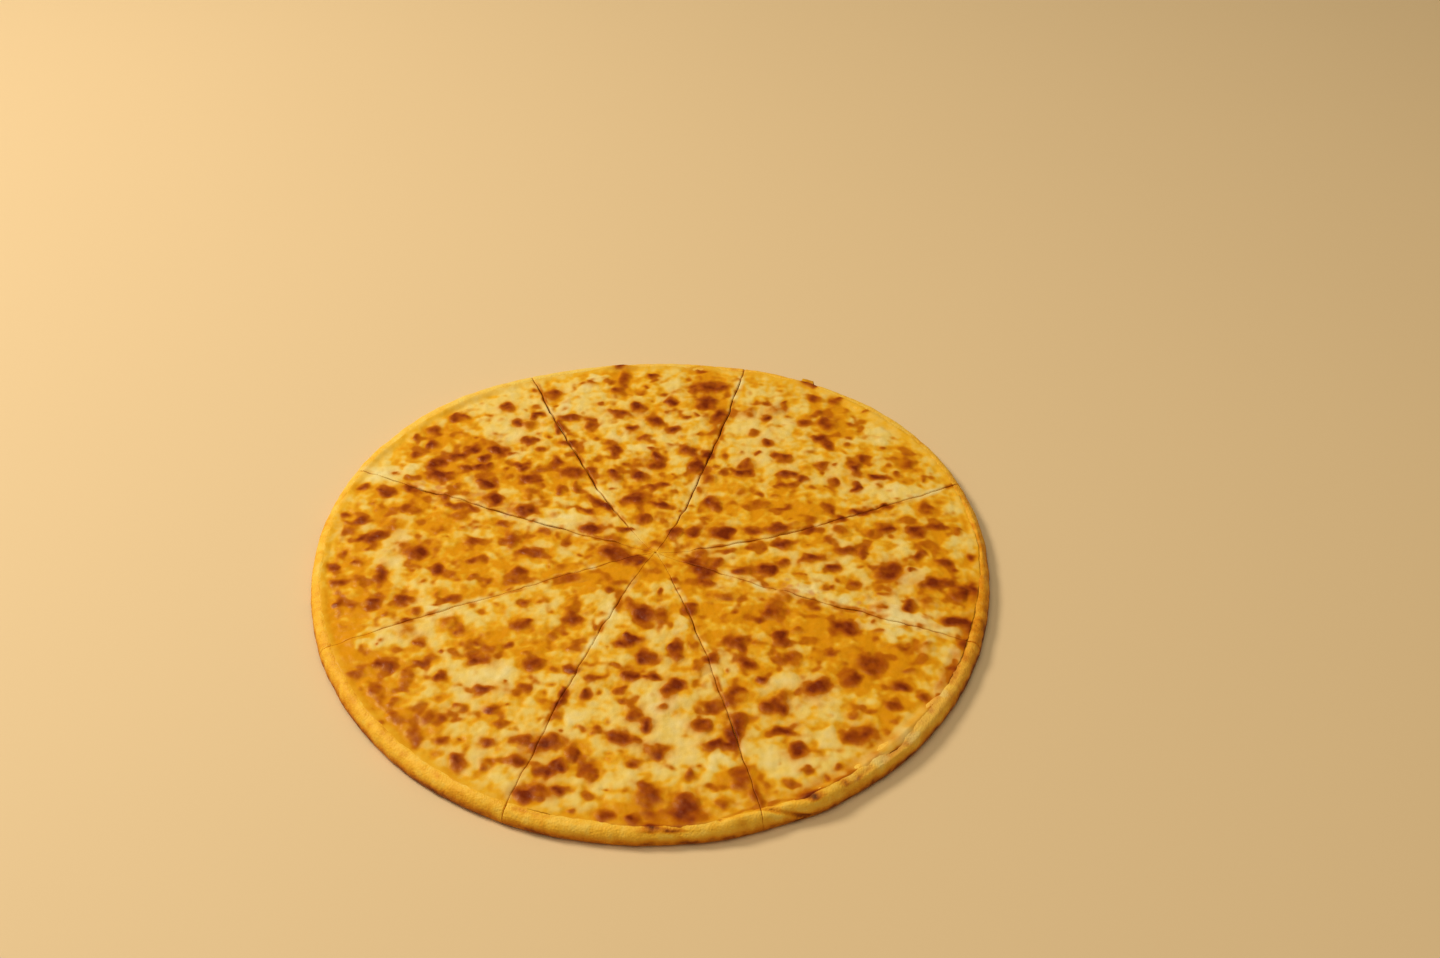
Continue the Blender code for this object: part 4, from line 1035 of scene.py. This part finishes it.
def makeCrust(index, material):
    steps = np.concatenate((
        np.linspace(0, 1, crustPiece["bedRows"], endpoint=False),
        np.linspace(1, 2, crustPiece["slopeRows"], endpoint=False),
        np.linspace(2, 7, crustPiece["rimRows"]),
    ))
    rowStep = np.concatenate((steps[:1], steps, steps[-2::-1], steps[:1]))    # out over the top, back underneath
    model, strip, row = sheet(index, crustPiece["columns"], len(rowStep) - 1)
    step, below, seam = rowStep[row], row > len(steps), (row == 0) | (row == len(rowStep) - 1)
    radius, _ = crustProfile(straightAcross(strip), step, below)
    healed = healedShare(strip, radius)
    roundness = crustPiece["roundness"] * (1 - 0.6 * healed)
    start, gain = crustPiece["closing"]    # a cut is this far closed, and more where it has healed
    angle, drop, _ = acrossSlice(strip, radius, roundness, -(start + gain * healed) * halfGap(strip, radius))
    radius, height = crustProfile(angle, step, below)
    otherRadius, otherHeight = crustProfile(angle, step, ~below)
    ownMiddle = (radius + otherRadius) / 2, (height + otherHeight) / 2

    lean = 0.5 * pi * smooth((step - 3.2) / 2.8)    # 0 faces up, a quarter turn faces out
    lump = rippleSum(angle * form["radius"], step, crustPiece["lumps"]) - creaseDepth(angle, step)
    lump = lump * smooth((step - 2.6) / 0.8) * np.where(below, smooth(step - 5.5), 1.0)
    radius = radius + lump * np.where(below, 1.0, np.sin(lean))
    height = np.maximum(height + lump * np.where(below, 0.0, np.cos(lean)), 0.0)

    drop = np.where(seam, 1.0, drop)
    height = np.where(seam, form["bedHeight"] / 2, height + ((height + otherHeight) / 2 - height) * drop)
    radius = np.where(seam, radius, radius + ((radius + otherRadius) / 2 - radius) * drop)
    onCut = (strip[1] == 0) | (strip[1] == strip[2])    # both skins meet there
    radius, height = np.where(onCut, ownMiddle[0], radius), np.where(onCut, ownMiddle[1], height)
    place(model, angle, radius, height)
    paintCrust(model, angle, radius, height, step, below)
    seams = [vert for vert in model.verts if vert.is_boundary]
    bmesh.ops.remove_doubles(model, verts=seams, dist=0.0000002)
    finishPiece(model, f"crust_{index + 1}", material, f"slice_{index + 1}_crust")


cheeseMaterial, crustMaterial, fillingMaterial = makeCheeseMaterial(), makeCrustMaterial(), makeFillingMaterial()
for number in range(len(form["cuts"])):
    makeCheese(number, cheeseMaterial)
    makeFilling(number, fillingMaterial)
    makeCrust(number, crustMaterial)
    print("slice", number + 1, "made")


# The floor, the lights and the camera

studio = {
    "floorColour": srgb(230, 204, 176), "floorDim": 0.97, "floorSize": 6.0,
    "world": {"Color": (1.0, 0.86, 0.50, 1.0), "Strength": 0.22},
    "lights": (    # name, place, size, watts, colour; each aims at the origin
        ("window", (-1.05, 0.45, 1.20), 0.50, 18.0, (1.0, 0.89, 0.60)),
        ("overhead", (-0.1, -0.2, 1.6), 1.4, 8.4, (1.0, 0.88, 0.56)),
    ),
    "camera": (0.0295, -0.5425, 0.529), "tilt": 49.0, "roll": 1.01, "lens": 42.5, "sensor": 36.0,
}


def makeFloor():
    model = bmesh.new()
    bmesh.ops.create_grid(model, x_segments=8, y_segments=8, size=studio["floorSize"] / 2)
    mesh = bpy.data.meshes.new("floor")
    model.to_mesh(mesh)
    model.free()
    made, tree, shader = newMaterial("paleFloor", {"Roughness": 0.7})
    coordinates = addNode(tree, "ShaderNodeTexCoord")
    grain = addNode(tree, "ShaderNodeTexNoise")
    setInputs(grain, {"Scale": 3.0})
    tree.links.new(coordinates.outputs["Object"], grain.inputs["Vector"])
    dimmer = tuple(studio["floorDim"] * part for part in studio["floorColour"][:3]) + (1.0,)
    colour = mixNode(tree, grain.outputs["Fac"], studio["floorColour"], dimmer)
    tree.links.new(colour, shader.inputs["Base Color"])
    mesh.materials.append(made)
    floor = addToScene("floor", mesh)


def makeLights():
    world = bpy.data.worlds.new("studio")
    world.use_nodes = True
    setInputs(world.node_tree.nodes["Background"], studio["world"])
    bpy.context.scene.world = world
    for name, stand, size, watts, colour in studio["lights"]:
        data = bpy.data.lights.new(name, "AREA")
        data.shape = "DISK"
        data.size = size
        data.energy = watts
        data.color = colour
        lamp = addToScene(name, data)
        lamp.location = stand
        lamp.rotation_euler = (-Vector(stand)).to_track_quat("-Z", "Y").to_euler()


def makeCamera():
    data = bpy.data.cameras.new("camera")
    data.lens = studio["lens"]
    data.sensor_width = studio["sensor"]
    camera = addToScene("camera", data)
    lean = Matrix.Rotation(radians(studio["tilt"]), 4, "X") @ Matrix.Rotation(radians(studio["roll"]), 4, "Z")
    camera.matrix_world = Matrix.Translation(studio["camera"]) @ lean
    bpy.context.scene.camera = camera


makeFloor()
makeLights()
makeCamera()
bpy.context.scene.view_settings.view_transform = "Standard"
print("studio made")
